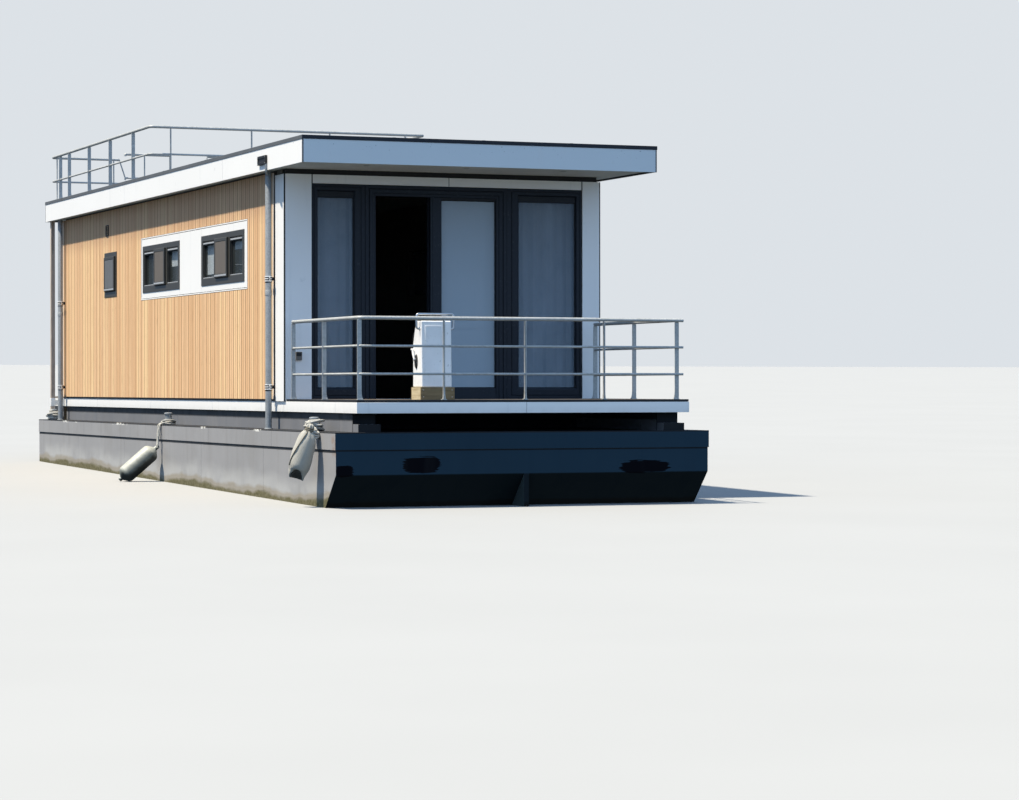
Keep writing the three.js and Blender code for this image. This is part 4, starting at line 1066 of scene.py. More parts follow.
def make_rear_wall():
    half, y = WALL - WALL_THICK - GAP, aft(WALL_REAR)
    u0, v0, u1, v1 = way = (0.412, FLOOR_TOP + 0.001, 1.308, up(3.258))
    core = Form().plate(on_rear(y), (-half, half), (WALL_LOW, CEILING), -WALL_THICK, -0.0125, [way])
    piece("rear_wall_core", core, lining, "cladding", replaces=["wall_rear"])
    skin = Form()
    round_door = (u0 - 0.07, v0 - 1, u1 + 0.07, v1 + 0.07)
    boards(skin, on_rear(y), -half, half, WALL_LOW + 0.024, WALL_TOP, [round_door])
    piece("rear_wall_boards", skin, cladding, "cladding")
    casing, near, wide = Form(), 0.001, 0.068
    for a, b, c, d in (
        (u0 - wide, v0, u0 - near, v1 + wide),
        (u1 + near, v0, u1 + wide, v1 + wide),
        (u0 - near, v1 + near, u1 + near, v1 + wide),
    ):
        casing.box((a, y - 0.0125, b), (c, y + 0.006, d))
    casing.box((u0, y - 0.14, v0 - 0.0005), (u1, y + 0.004, v0 + 0.0035), 1)
    piece("rear_door_casing", casing, [anthracite, stainless], "anthracite_frame", bevel=0.003)


def make_window_panels():
    form = Form()
    low, high = up(PANEL[1]), up(PANEL[3])
    for start, end, window in ((PANEL[0], 6.12, "front"), (6.12, 7.18, None), (7.18, PANEL[2], "middle")):
        holes = [window_hole(window)] if window else []
        form.plate(on_left(), (aft(start) + 0.003, aft(end) - 0.003), (low, high), -0.0194, 0.0, holes)
    pair("window_boards_{}", form, white, "white_panel", "window_panel_{}", 0.0015)


def make_window(name, start, end):
    """Outer frame and bars, a closed sash that stands proud, vents over the other panes."""
    place = on_left()
    rect = u0, v0, u1, v1 = aft(start), WINDOW_LOW, aft(end), WINDOW_HIGH
    wide, low_wide, bar = 0.075, 0.095, 0.078
    inner = i0, j0, i1, j1 = u0 + wide, v0 + low_wide, u1 - wide, v1 - wide
    form = Form()

    def slab(out, first, low, back, last, high, slot=0):
        form.box((-WALL - out, first, low), (-WALL + back, last, high), slot)

    outside = [inset(rect, by, depth) for by, depth in ((0, -0.062), (0, 0.006), (0.003, 0.008))]
    inside = [inset(inner, by, depth) for by, depth in ((-0.006, 0.008), (0, 0.002), (0, -0.062))]
    form.rects(place, outside + inside)
    panes = 3 if end - start > 1 else 1
    span = (i1 - i0 - (panes - 1) * bar) / panes
    sash = [(-0.01, -0.02), (-0.01, 0.03), (-0.006, 0.034), (0.03, 0.034), (0.035, 0.028), (0.035, -0.02)]
    seal = [(0.0005, -0.04), (0.0005, -0.012), (0.008, -0.018), (0.008, -0.04)]
    for k in range(panes):
        a = i0 + k * (span + bar)
        b = a + span
        if k < panes - 1:
            slab(0.008, b, j0 - 0.004, 0.062, b + bar, j1 + 0.004)
        if k == panes // 2:
            form.frame(place, (a, j0, b, j1), sash)
            slab(0.0305, a + 0.036, j0 + 0.034, 0.02, b - 0.036, j1 - 0.034, 1)
            # A light lip under the sash, painted highlight, and a black strip under that, painted shadow
            slab(0.0355, a + 0.004, j0 + 0.001, -0.03, b - 0.004, j0 + 0.022, 3)
            slab(0.02, a - 0.0095, j0 - 0.022, 0.0, b + 0.0095, j0 - 0.0105, 2)
        else:
            form.frame(place, (a, j0, b, j1), seal, 2)
            # A black block behind each vent bar: painted shade of its recess
            slab(0.0, a + 0.001, j1 - 0.052, 0.03, b - 0.001, j1 - 0.001, 2)
            slab(0.009, a + 0.012, j1 - 0.036, 0.001, b - 0.03, j1 - 0.017, 3)
            slab(0.0025, a + 0.02, j0 + 0.0005, 0.03, b - 0.004, j0 + 0.009, 3)
    finishes = [anthracite, sash_board if panes == 3 else sash_grey, rubber, vent_metal]
    pair("window_frame_{}_" + name, form, finishes, "anthracite_frame", "window_{}_" + name, 0.0015)


def grid(rows, columns):
    """Faces over rows of points, each columns wide."""
    wide = columns + 1
    corners = [r * wide + c for r in range(rows) for c in range(columns)]
    return [(a, a + 1, a + wide + 1, a + wide) for a in corners]


# Roller blinds inside the windows: window, first and last share of its width, share drawn down
LEFT_BLINDS = (("front", 0.045, 0.313, 0.3), ("front", 0.687, 0.955, 0.9), ("middle", 0.046, 0.313, 0.52))
RIGHT_BLINDS = (("front", 0.03, 0.97, 1.0), ("middle", 0.03, 0.97, 1.0), ("small", 0.05, 0.95, 1.0))


def make_blinds(side, table, finish, depth, under):
    """Rollers and blinds, depth behind the wall's face and under the window's upper edge."""
    name = "left" if side < 0 else "right"
    x, top = side * (WALL - depth), WINDOW_HIGH - under
    height = WINDOW_HIGH - WINDOW_LOW - 0.1 - under
    columns, rows = 14, 12
    rollers, sheets = Form(), []
    for window, first, last, drawn in table:
        a, b = WINDOWS[window]
        y0, y1 = aft(a + (b - a) * first), aft(a + (b - a) * last)
        tube = [(0.006, 0), (0.014, 0.001), (0.014, y1 - y0 - 0.001), (0.006, y1 - y0)]
        rollers.lathe(tube, (x, y0, top), AFTWARD, 20)
        for y in (y0 - 0.006, y1 + 0.001):
            rollers.box((x - 0.015, y, top - 0.015), (x + 0.015, y + 0.005, top + 0.018))
        sheets.append((y0 + 0.004, y1 - 0.004, height * drawn))
    piece("blind_rollers_" + name, rollers, vent_metal, "galvanised", smooth=40)
    for k, (y0, y1, drop) in enumerate(sheets):
        points = []
        for r in range(rows + 1):
            for c in range(columns + 1):
                wave = 0.0155 + 0.0012 * math.sin(5 * c / columns + 3 * r / rows)
                points.append((x + side * wave, y0 + (y1 - y0) * c / columns, top - drop * r / rows))
        form = Form().add(points, grid(rows, columns))
        made = piece(f"blind_{name}_{k}", form, finish, "curtain", smooth=80)


def make_wall_fittings():
    """The black vent near the stern and the grey socket box by the front corner."""
    form = Form()
    y0, y1, z0, z1 = aft(11.01), aft(11.16), up(3.51), up(3.67)
    rim = 0.014
    form.frame(on_left(), (y0, z0, y1, z1), [(0, 0.0), (0, 0.012), (rim, 0.012), (rim, 0.0)])
    for k in range(6):
        z = z0 + 0.02 + k * 0.021
        blade = [(0.002, z), (0.011, z - 0.004), (0.011, z), (0.002, z + 0.006)]
        form.prism([(-WALL - out, y0 + rim, v) for out, v in blade], (0, y1 - y0 - 2 * rim, 0))
    piece("wall_vent", form, black, "black_plastic", bevel=0.001)
    box = Form()
    y = aft(WALL_FRONT)
    box.box((-1.888, y - 0.035, up(1.65)), (-1.812, y, up(1.75)))
    box.box((-1.884, y - 0.042, up(1.7)), (-1.816, y - 0.034, up(1.746)), 1)
    piece("socket_box", box, [lining, black], "coaming_paint", bevel=0.004)


# The glazed front
def make_front_surround():
    low, front = WALL_LOW, aft(WALL_FRONT)
    back, reach, head = front + WALL_THICK, front + CORNER_LEG, UNIT_TOP + 0.002
    form = Form()
    for side, inner in ((-1, -1.6835), (1, 1.7835)):
        outer = side * WALL
        form.box((outer - side * 0.014, front, low), (inner, front + 0.02, WALL_TOP))
        form.box((outer, front + 0.001, low), (outer - side * 0.0135, front + 0.02, WALL_TOP), 1)
        form.box((outer - side * 0.021, front + 0.0205, low), (inner, back, WALL_TOP), 1)
    for side in (-1, 1):
        inner = side * (WALL - WALL_THICK)
        form.box((side * WALL, front + 0.0235, low), (side * (WALL - 0.0195), reach - 0.003, WALL_TOP))
        form.box((side * (WALL - 0.0205), back + 0.0005, low), (inner, reach, CEILING), 2)
    for a, b in ((-1.6685, 0.0395), (0.0485, 1.7685)):
        form.box((a, front + 0.001, head), (b, front + 0.02, WALL_TOP), 3)
    form.box((-1.6825, front + 0.0205, head), (1.7825, back, WALL_TOP), 1)
    for a, b in ((-1.6803, -1.6687), (0.0397, 0.0483), (1.7687, 1.7803)):
        form.box((a, front + 0.002, head + 0.001), (b, front + 0.0203, WALL_TOP - 0.001), 1)
    # The black band under the soffit, set back: insect mesh, and painted shade of the vent gap
    back_by = 0.035
    form.box((-WALL + back_by, front + back_by, WALL_TOP + GAP), (WALL - back_by, back, CEILING), 1)
    for a in (-1.044, 0.772):
        form.box((a, front - 0.001, head + 0.001), (a + 0.037, front + 0.0005, UNIT_TOP + 0.03))
    piece("front_boards", form, [white, black, lining, white], "white_panel",
          replaces=["front_surround"], bevel=0.0015)


def stepped(form, place, outer, hole, depths):
    """A frame face that steps in from its outer rectangle to its hole."""
    steps = []
    for share, depth in depths:
        steps.append(tuple(o + (h - o) * share for o, h in zip(outer, hole)) + (depth,))
    form.rects(place, steps)


# Faces of the frames: share of the way from the outer rectangle to the hole, and depth
FRAME_STEPS = (
    (0.0, -0.09), (0.0, -0.004), (0.04, 0.0), (0.36, 0.0), (0.38, -0.008), (0.42, -0.008),
    (0.44, 0.002), (0.86, 0.002), (0.92, -0.004), (1.0, -0.02), (1.0, -0.09),
)
DOOR_STEPS = (
    (0.0, -0.15), (0.0, -0.003), (0.03, 0.0), (0.3, 0.0), (0.33, -0.01), (0.38, -0.01),
    (0.41, 0.003), (0.7, 0.003), (0.74, -0.006), (0.95, -0.006), (1.0, -0.014), (1.0, -0.15),
)


def make_side_light(name, start, end, hole_start, hole_end):
    front = aft(WALL_FRONT)
    place = on_front(front + 0.015)
    form = Form()
    hole = (hole_start, GLASS_LOW, hole_end, GLASS_TOP + 0.07)
    stepped(form, place, (start, WALL_LOW, end - GAP, UNIT_TOP), hole, FRAME_STEPS)
    low, high = GLASS_TOP, GLASS_TOP + 0.072
    form.box((hole_start - 0.002, front + 0.04, low), (hole_end + 0.002, front + 0.1, high))
    for k in range(3):
        z = GLASS_TOP + 0.016 + k * 0.018
        form.box((hole_start, front + 0.034, z), (hole_end, front + 0.041, z + 0.008), 1)
    pane = (hole_start, GLASS_LOW, hole_end, GLASS_TOP)
    form.frame(place, pane, [(0, -0.036), (0, -0.026), (0.007, -0.03), (0.007, -0.036)], 2)
    piece("light_frame_" + name, form, [front_frame_shaded, black, rubber], "anthracite_frame",
          replaces=["side_light_" + name], bevel=0.001)


SILL = FLOOR_TOP + 0.002
DOOR_HEAD = up(3.6)


def make_door_frame():
    front = aft(WALL_FRONT) + 0.01
    place = on_front(front)
    form = Form()
    way = (-0.876, SILL, 0.652, DOOR_HEAD)
    stepped(form, place, (-1.009, WALL_LOW, 0.7927, UNIT_TOP), way, DOOR_STEPS)
    form.box((-0.19, front - 0.003, SILL - 0.001), (-0.05, front + 0.069, DOOR_HEAD + 0.001))
    form.box((-0.165, front - 0.008, SILL), (-0.075, front, DOOR_HEAD))
    pane = (-0.05, SILL + 0.13, 0.652, up(3.574))
    sides = (-0.051, SILL - 0.001, 0.653, DOOR_HEAD + 0.001)
    form.rects(place, [(*sides, -0.069), (*sides, -0.006), (*pane, -0.012), (*pane, -0.069)])
    form.frame(place, pane, [(0, -0.036), (0, -0.024), (0.008, -0.03), (0.008, -0.036)], 1)
    form.box((-0.876, front + 0.004, SILL - 0.001), (-0.19, front + 0.12, SILL + 0.001), 2)
    piece("door_surround", form, [front_frame_shaded, rubber, stainless], "anthracite_frame",
          replaces=["door_frame"], bevel=0.001)


def make_door_leaf():
    front = aft(WALL_FRONT) + 0.092
    place = on_front(front)
    left, low, high = -0.19, SILL + 0.005, DOOR_HEAD - 0.005
    right = left + 0.826
    form = Form()
    leaf = (left, low, right, high)
    hole = (left + 0.07, low + 0.095, right - 0.07, high - 0.095)
    outside = [inset(leaf, by, depth) for by, depth in ((0, -0.05), (0, -0.002), (0.003, 0))]
    inside = [inset(hole, by, depth) for by, depth in ((-0.01, 0), (0, -0.012), (0, -0.05))]
    form.rects(place, outside + inside)
    form.frame(place, hole, [(0, -0.016), (0, -0.011), (0.007, -0.0135), (0.007, -0.016)], 1)
    x, z, out = left + 0.035, low + 1.0, front + 0.1
    form.box((x - 0.016, front + 0.049, z - 0.11), (x + 0.016, front + 0.058, z + 0.11), 2)
    handle = [(x, front + 0.05, z + 0.03), (x, out, z + 0.03), (x, out, z - 0.13)]
    form.tube(rounded(handle, 0.018), 0.009, 12, 2)
    piece("door_leaf_profile", form, [front_frame_shaded, rubber, stainless], "anthracite_frame",
          body="sliding_door", replaces=["door_leaf"], bevel=0.001)


def make_rear_door():
    inside = aft(WALL_REAR - WALL_THICK) - 0.005
    left, right, low, high = 0.42, 1.3, FLOOR_TOP + 0.007, up(3.25)
    place = on_rear(inside + 0.044)
    form = Form()
    hole = (left + 0.16, low + 1.12, right - 0.16, high - 0.16)
    form.plate(place, (left, right), (low, high), -0.044, 0.0, [hole])
    lower = (left + 0.14, low + 0.16, right - 0.14, low + 0.98)
    form.frame(place, lower, [(0, -0.002), (0, 0.006), (0.025, 0.001), (0.025, -0.002)])
    upper = (left + 0.14, low + 1.1, right - 0.14, high - 0.14)
    form.frame(place, upper, [(0, -0.046), (0, 0.006), (0.04, 0.0), (0.04, -0.046)])
    form.box((left + 0.17, inside + 0.016, low + 1.13), (right - 0.17, inside + 0.032, high - 0.17), 1)
    x, z, out = left + 0.06, low + 1.02, inside + 0.085
    form.box((x - 0.018, inside + 0.043, z - 0.1), (x + 0.018, inside + 0.05, z + 0.1), 2)
    handle = [(x, inside + 0.048, z + 0.04), (x, out, z + 0.04), (x + 0.11, out, z + 0.04)]
    form.tube(rounded(handle, 0.016), 0.008, 12, 2)
    half = [(0.006, 0.054), (0.009, 0.05), (0.009, 0.017), (0.0085, 0.016), (0.009, 0.015)]
    hinge = [(r, -d) for r, d in half] + list(reversed(half))
    for share in (0.15, 0.5, 0.85):
        at = low + share * (high - low)
        form.lathe(hinge, (right, inside - 0.005, at), UPWARD, 14, 2)
        form.box((right - 0.05, inside - 0.003, at - 0.045), (right - 0.004, inside, at + 0.045), 2)
    piece("stern_door_leaf", form, [anthracite, side_pane, stainless], "anthracite_frame",
          body="stern_door", replaces=["rear_door"], bevel=0.0015)


CURTAIN_Y = aft(WALL_FRONT) + 0.235


def make_curtain(name, start, end, folds, seed):
    """Voile gathered on its track: pleats that open out towards the floor."""
    low, high = FLOOR_TOP + 0.02, SOFFIT - 0.012
    pick = random.Random(seed)
    columns, rows = folds * 10, 26
    shifts = [pick.uniform(-0.5, 0.5) for _ in range(folds + 2)]
    points = []
    for r in range(rows + 1):
        drop = r / rows
        for c in range(columns + 1):
            t = c / columns
            k = t * folds
            sway = shifts[int(k)] * (1 - k % 1) + shifts[int(k) + 1] * (k % 1)
            deep = (0.012 + 0.012 * drop) * (1 + 0.5 * sway)
            wave = math.sin(2 * math.pi * k + sway + 0.5 * drop * sway)
            x = start + (end - start) * t + 0.006 * math.sin(4 * math.pi * k)
            p = Vector((x, CURTAIN_Y + deep * wave, high - drop * (high - low)))
            points.append(p)
    form = Form().add(points, grid(rows, columns))
    made = piece("voile_" + name, form, voile, "curtain", replaces=["curtain_" + name], smooth=80)


def make_curtain_track():
    form = Form()
    form.box((-1.68, CURTAIN_Y - 0.012, SOFFIT - 0.012), (1.78, CURTAIN_Y + 0.012, SOFFIT - 0.0005))
    piece("curtain_track", form, white, "white_panel", bevel=0.002)


# Roof
def ring_boards(form, half, ends, heights, thick, joints, gap=0.003, slots=(0, 0)):
    """Boards round the roof's edge, with open joints along the sides. slots: sides, then ends."""
    low, high = heights
    places = [ends[0], *joints, ends[1]]
    for side in (-1, 1):
        outer, inner = side * half, side * (half - thick)
        for start, end in zip(places, places[1:]):
            form.box((outer, aft(start) + gap, low), (inner, aft(end) - gap, high), slots[0])
    for y, way in ((aft(ends[0]), thick), (aft(ends[1]), -thick)):
        form.box((-half + thick + gap, y, low), (half - thick - gap, y + way, high), slots[1])


def make_fascia():
    form = Form()
    low, high, thick, behind = EAVES + 0.0005, FASCIA_TOP, 0.012, 0.0125
    # The end boards take the darker white copy: painted shade
    ring_boards(form, ROOF_HALF, (ROOF_FRONT, ROOF_REAR), (low, high), thick, (4.54, 9.41), slots=(0, 3))
    ends = (ROOF_FRONT + behind, ROOF_REAR - behind)
    ring_boards(form, ROOF_HALF - behind, ends, (low + 0.0025, high - 0.003), 0.007, (), 0.0, (1, 1))
    for side in (-1, 1):
        for y, out in ((aft(ROOF_FRONT), -0.0015), (aft(ROOF_REAR), 0.0015)):
            corner = (side * (ROOF_HALF + 0.0015), y + out, EAVES)
            form.box(corner, (side * (ROOF_HALF - thick), y - 8 * out, high), 2)
    piece("fascia_boards", form, [white, black, trim_metal, white_fascia_shaded], "white_panel",
          replaces=["fascia"], bevel=0.0015)


ROOF_INSET = 0.0205


def make_roof():
    half = ROOF_HALF - ROOF_INSET
    start, end = aft(ROOF_FRONT) + ROOF_INSET, aft(ROOF_REAR) - ROOF_INSET
    form = Form()
    form.box((-half, start, SOFFIT + 0.02), (half, end, ROOF_DECK))
    for k in range(1, 10):
        y = aft(1.41 + k * 1.279)
        form.box((-half + 0.07, y - 0.03, ROOF_DECK - 0.001), (half - 0.07, y + 0.03, ROOF_DECK + 0.003))
    piece("roof_membrane", form, membrane, "roofing", replaces=["roof"], bevel=0.002)
    under = Form()
    joints = [start, aft(WALL_FRONT), aft(5.4), aft(8.2), aft(11.0), aft(WALL_REAR), end]
    for first, last in zip(joints, joints[1:]):
        for a, b in ((-half, 0.0), (0.0, half)):
            under.box((a + 0.001, first + 0.001, SOFFIT), (b - 0.001, last - 0.001, SOFFIT + 0.0195))
    piece("soffit_boards", under, soffit_board, "roofing", bevel=0.0015)
    lights = Form()
    rim = [(0.046, 0), (0.046, 0.003), (0.034, 0.004), (0.032, 0.0)]
    pane = [(0.031, 0), (0.031, 0.0022), (0.001, 0.0022)]
    for x in (-1.25, -0.015, 1.22):
        y = aft(1.84)
        lights.lathe(rim, (x, y, SOFFIT + 0.001), (0, 0, -1), 28)
        lights.lathe(pane, (x, y, SOFFIT + 0.0005), (0, 0, -1), 24, 1)
    piece("downlights", lights, [stainless, lamp], "galvanised", smooth=40)


def on_top(u, v, d):
    return Vector((u, v, d))


def make_roof_trim():
    edge = Form()
    out = ROOF_HALF + 0.006
    front, rear = aft(ROOF_FRONT) - 0.006, aft(ROOF_REAR) + 0.006
    low, top = FASCIA_TOP + GAP, TRIM_TOP
    steps = [(0.0, low), (0.0, top - 0.003), (0.004, top), (0.014, top), (0.03, top - 0.006)]
    steps += [(0.074, top - 0.008), (0.09, top - 0.014), (0.09, low)]
    edge.frame(on_top, (-out, front, out, rear), steps)
    for distance in (3.3, 5.3, 7.3, 9.3, 11.3, 13.2):
        y = aft(distance)
        for side in (-1, 1):
            corner = (side * (out + 0.001), y - 0.02, low + 0.001)
            edge.box(corner, (side * (out - 0.085), y + 0.02, top + 0.001))
    for x in (-1.1, 0.0, 1.1):
        edge.box((x - 0.02, front - 0.001, low + 0.001), (x + 0.02, front + 0.085, top + 0.001))
    # Bow-facing faces take the near black navy trim copy: painted shade
    for k, face in enumerate(edge.faces):
        if max(edge.points[i].y for i in face) < front + 0.0045:
            edge.slots[k] = 1
    piece("roof_edge_trim", edge, [trim_metal, trim_front_shaded], "roofing", bevel=0.001)


def make_ladder():
    form = Form()
    y, low, left, right = aft(14.345), FLOOR_TOP + GAP, -0.16, 0.28
    top = TRIM_TOP + 0.5
    for x in (left, right):
        path = [(x, y, low), (x, y, top - 0.012), (x, y, top - 0.004), (x, y, top)]
        form.tube(path, [0.019, 0.019, 0.016, 0.008], 14)
        form.box((x - 0.035, y - 0.02, low), (x + 0.035, y + 0.02, low + 0.008))
        for z in (SOFFIT + 0.08, TRIM_TOP + 0.3):
            form.lathe([(0.024, -0.02), (0.024, 0.02)], (x, y, z), UPWARD, 14)
    z = DECK + 0.62
    while z < TRIM_TOP:
        form.tube([(left, y, z), (right, y, z)], 0.0145, 12)
        for k in range(9):
            form.lathe([(0.0158, -0.006), (0.0158, 0.006)], (left + 0.06 + k * 0.04, y, z), ACROSS, 12)
        z += 0.28
    piece("ladder_tubes", form, zinc, "galvanised", replaces=["roof_ladder"], smooth=45)


def landing_post(form, side):
    """A slim post beside the landing: a plain lower part, a grooved upper one, a plate at each end."""
    x, y, high, half = side * 2.12, aft(14.16), SOFFIT - 0.009, 0.03
    groove = [(-0.01, -half), (-0.01, -0.01), (0.01, -0.01), (0.01, -half)]
    section = [(-half, -half), *groove, (half, -half), (half, half), (-half, half)]
    form.loft([[(x + u, y + v, z) for u, v in section] for z in (high - 0.5, high)], 2)

    def block(wide, low, top, slot):
        form.box((x - wide, y - wide, low), (x + wide, y + wide, top), slot)

    block(half, DECK + 0.0105, high - 0.5004, 2)
    block(0.034, BAND_LOW, BAND_TOP, 4)
    form.box((x, y - 0.02, BAND_LOW + 0.02), (side * 2.0125, y + 0.02, BAND_LOW + 0.09), 3)
    block(0.04, DECK + GAP, DECK + 0.01, 3)
    block(0.04, SOFFIT - 0.0085, CEILING, 3)
    for u, v in ((-1, -1), (-1, 1), (1, -1), (1, 1)):
        bolt(form, (x + u * 0.034, y + v * 0.034, DECK + 0.01), UPWARD, 0.004, 3)


def make_porch():
    form = Form()
    half, low, start, end = 2.0, DECK + GAP, aft(13.915), aft(14.55)
    step = (end - start) / 4
    for i in range(4):
        first = start + i * step
        form.box((-half, first + 0.003, BAND_TOP), (half, first + step - 0.003, FLOOR_TOP), 1)
    form.box((-half, start, low), (half, start + 0.04, BAND_TOP - 0.001))
    form.box((-half, end - 0.06, low), (half, end - 0.02, BAND_TOP - 0.001))
    for k in range(9):
        x = k * 0.4939 - half
        form.box((x, start + 0.041, low), (x + 0.045, end - 0.061, BAND_TOP - 0.002))
    for side in (-1, 1):
        inner, rear = side * 2.0005, end - 0.02
        form.box((inner, start, BAND_LOW), (side * 2.012, rear, BAND_TOP - 0.0005), 4)
        form.box((inner, start, low), (side * 2.007, rear, BAND_LOW - 0.001), 5)
    for side in (-1, 1):
        landing_post(form, side)
    finishes = [dark_timber, decking, post_timber, zinc_bright, white, coaming_side]
    piece("stern_landing_boards", form, finishes, "dark_timber", replaces=["stern_porch"], bevel=0.003)


def make_downpipe(name, distance):
    y, x, low = aft(distance), -2.092, DECK + 0.003
    path = [(x, y, low), (x, y, SOFFIT - 0.019), (x, y, SOFFIT - 0.015)]
    form = Form().tube(path, [0.038, 0.038, 0.036], 24)
    form.lathe([(0.041, 0), (0.041, 0.06), (0.038, 0.064)], (x, y, up(2.42)), UPWARD, 24)
    form.lathe([(0.05, 0), (0.05, 0.006), (0.04, 0.012)], (x, y, DECK + 0.001), UPWARD, 24)
    if name == "front":
        mouth, bend = (-ROOF_HALF - 0.0133, aft(2.672)), up(3.858)
        spout = [(*mouth, up(3.955)), (*mouth, bend), (x, y, bend - 0.012)]
        form.tube(rounded(spout, 0.012), 0.013, 16)
    piece("pipe_" + name, form, zinc_pipe, "galvanised", replaces=["downpipe_" + name], smooth=40)
    clamps = Form()
    # Pale rings stand for the clamps' highlights, painted highlight; the black rings between them are
    # painted shade of their grooves
    ring = [(0.038, -0.006), (0.044, -0.006), (0.044, 0.006), (0.038, 0.006)]
    shade_ring = [(0.038, -0.0065), (0.0405, -0.0065), (0.0405, 0.0065), (0.038, 0.0065)]
    for z in (up(2.616), up(1.336)):
        for k in range(3):
            clamps.lathe(ring, (x, y, z - 0.026 + k * 0.026), UPWARD, 24)
            clamps.lathe(shade_ring, (x, y, z - 0.039 + k * 0.026), UPWARD, 24, 1)
        clamps.box((x + 0.034, y - 0.012, z - 0.02), (-WALL, y + 0.012, z + 0.02), 1)
        for side in (-1, 1):
            ear = y + side * 0.05
            clamps.box((x - 0.004, ear - 0.009, z - 0.03), (x + 0.004, ear + 0.009, z + 0.03))
            bolt(clamps, (x - 0.004, ear, z), (-1, 0, 0), 0.006, 1)
    piece("clamps_" + name, clamps, [zinc_bright, black], "galvanised", bevel=0.001)


def make_outlet_box():
    """The flat box on the fascia that takes the roof's water."""
    form = Form()
    rect = y0, z0, y1, z1 = aft(2.66), up(3.95), aft(2.98), up(4.055)
    place = on_left(-ROOF_HALF - GAP)
    rings = []
    for by, depth in ((0.0, 0.0), (0.0, 0.025), (0.003, 0.028), (0.03, 0.028), (0.034, 0.02), (0.04, 0.02)):
        u0, v0, u1, v1, d = inset(rect, by, depth)
        rings.append([place(u, v, d) for u, v in ((u0, v0), (u1, v0), (u1, v1), (u0, v1))])
    form.loft(rings)
    for y in (y0 + 0.015, y1 - 0.015):
        for z in (z0 + 0.015, z1 - 0.015):
            form.lathe([(0.005, 0), (0.005, 0.002), (0.003, 0.003)], place(y, z, 0.0275), (-1, 0, 0), 10, 1)
    piece("outlet_box", form, [black, zinc], "black_plastic", bevel=0.0015)


# Helm
CONSOLE_LEFT, CONSOLE_RIGHT = -1.12, -0.76
CONSOLE_FRONT, CONSOLE_REAR = aft(0.35), aft(0.64)
CONSOLE_LOW, CONSOLE_TOP = FLOOR_TOP + 0.1383, up(2.074)
# The upper part of its rear face leans forward and carries the dash and the wheel
DASH_TALL, DASH_LEAN = 0.26, 0.095
DASH_TILT = math.atan2(DASH_LEAN, DASH_TALL)
WHEEL_X, WHEEL_DROP = -0.94, 0.204
WHEEL_Y = CONSOLE_REAR - (1 - WHEEL_DROP / DASH_TALL) * DASH_LEAN
WHEEL_FOOT = Vector((WHEEL_X, WHEEL_Y, CONSOLE_TOP - WHEEL_DROP))
WHEEL_AXIS = Vector((0, math.cos(DASH_TILT), math.sin(DASH_TILT)))


def make_console():
    left, right, front, rear = CONSOLE_LEFT, CONSOLE_RIGHT, CONSOLE_FRONT, CONSOLE_REAR
    low, top, lean = CONSOLE_LOW, CONSOLE_TOP, 0.022
    side = [(front, low), (rear, low), (rear, top - DASH_TALL), (rear - DASH_LEAN, top), (front + lean, top)]
    form = Form().prism([(left, y, z) for y, z in side], (right - left, 0, 0))
    body = piece("console_shell", form, gelcoat, "console_gelcoat",
                 replaces=["console_body"], bevel=0.014, segments=4)
    for polygon in body.data.polygons:
        polygon.use_smooth = True
    body.modifiers["bevel"].harden_normals = True

    def on_bow_face(u, v, d):
        return Vector((u, front + lean * (v - low) / (top - low) - d, v))

    hatch = Form()
    rect = u0, v0, u1, v1 = -1.08, up(1.8), -0.87, up(2.025)
    rim = [(0, -0.004), (0, 0.0012), (0.003, 0.0024), (0.022, 0.0024), (0.024, 0.0008), (0.024, -0.004)]
    hatch.frame(on_bow_face, rect, rim)
    u, v = (u0 + u1) / 2, (v0 + v1) / 2
    middle = (u, v, u + 0.001, v + 0.001)
    lid = [inset(rect, 0.025, -0.003), inset(rect, 0.025, 0.0016), (*middle, 0.0016), (*middle, -0.003)]
    hatch.rects(on_bow_face, lid)
    piece("console_hatch", hatch, gelcoat, "console_gelcoat", smooth=30)
    rail = Form()
    y, z, foot, out = front + 0.06, top + 0.076, top - 0.09, 0.04
    path = [(left, y, foot), (left - out, y, foot), (left - out, y, z)]
    path += [(right + out, y, z), (right + out, y, foot), (right, y, foot)]
    rail.tube(rounded(path, 0.03), 0.012, 16)
    for x, way in ((left, -1), (right, 1)):
        rail.lathe([(0.022, 0), (0.022, 0.003), (0.013, 0.006)], (x, y, foot), (way, 0, 0), 20)
    piece("console_grab_rail", rail, stainless, "galvanised", smooth=40)


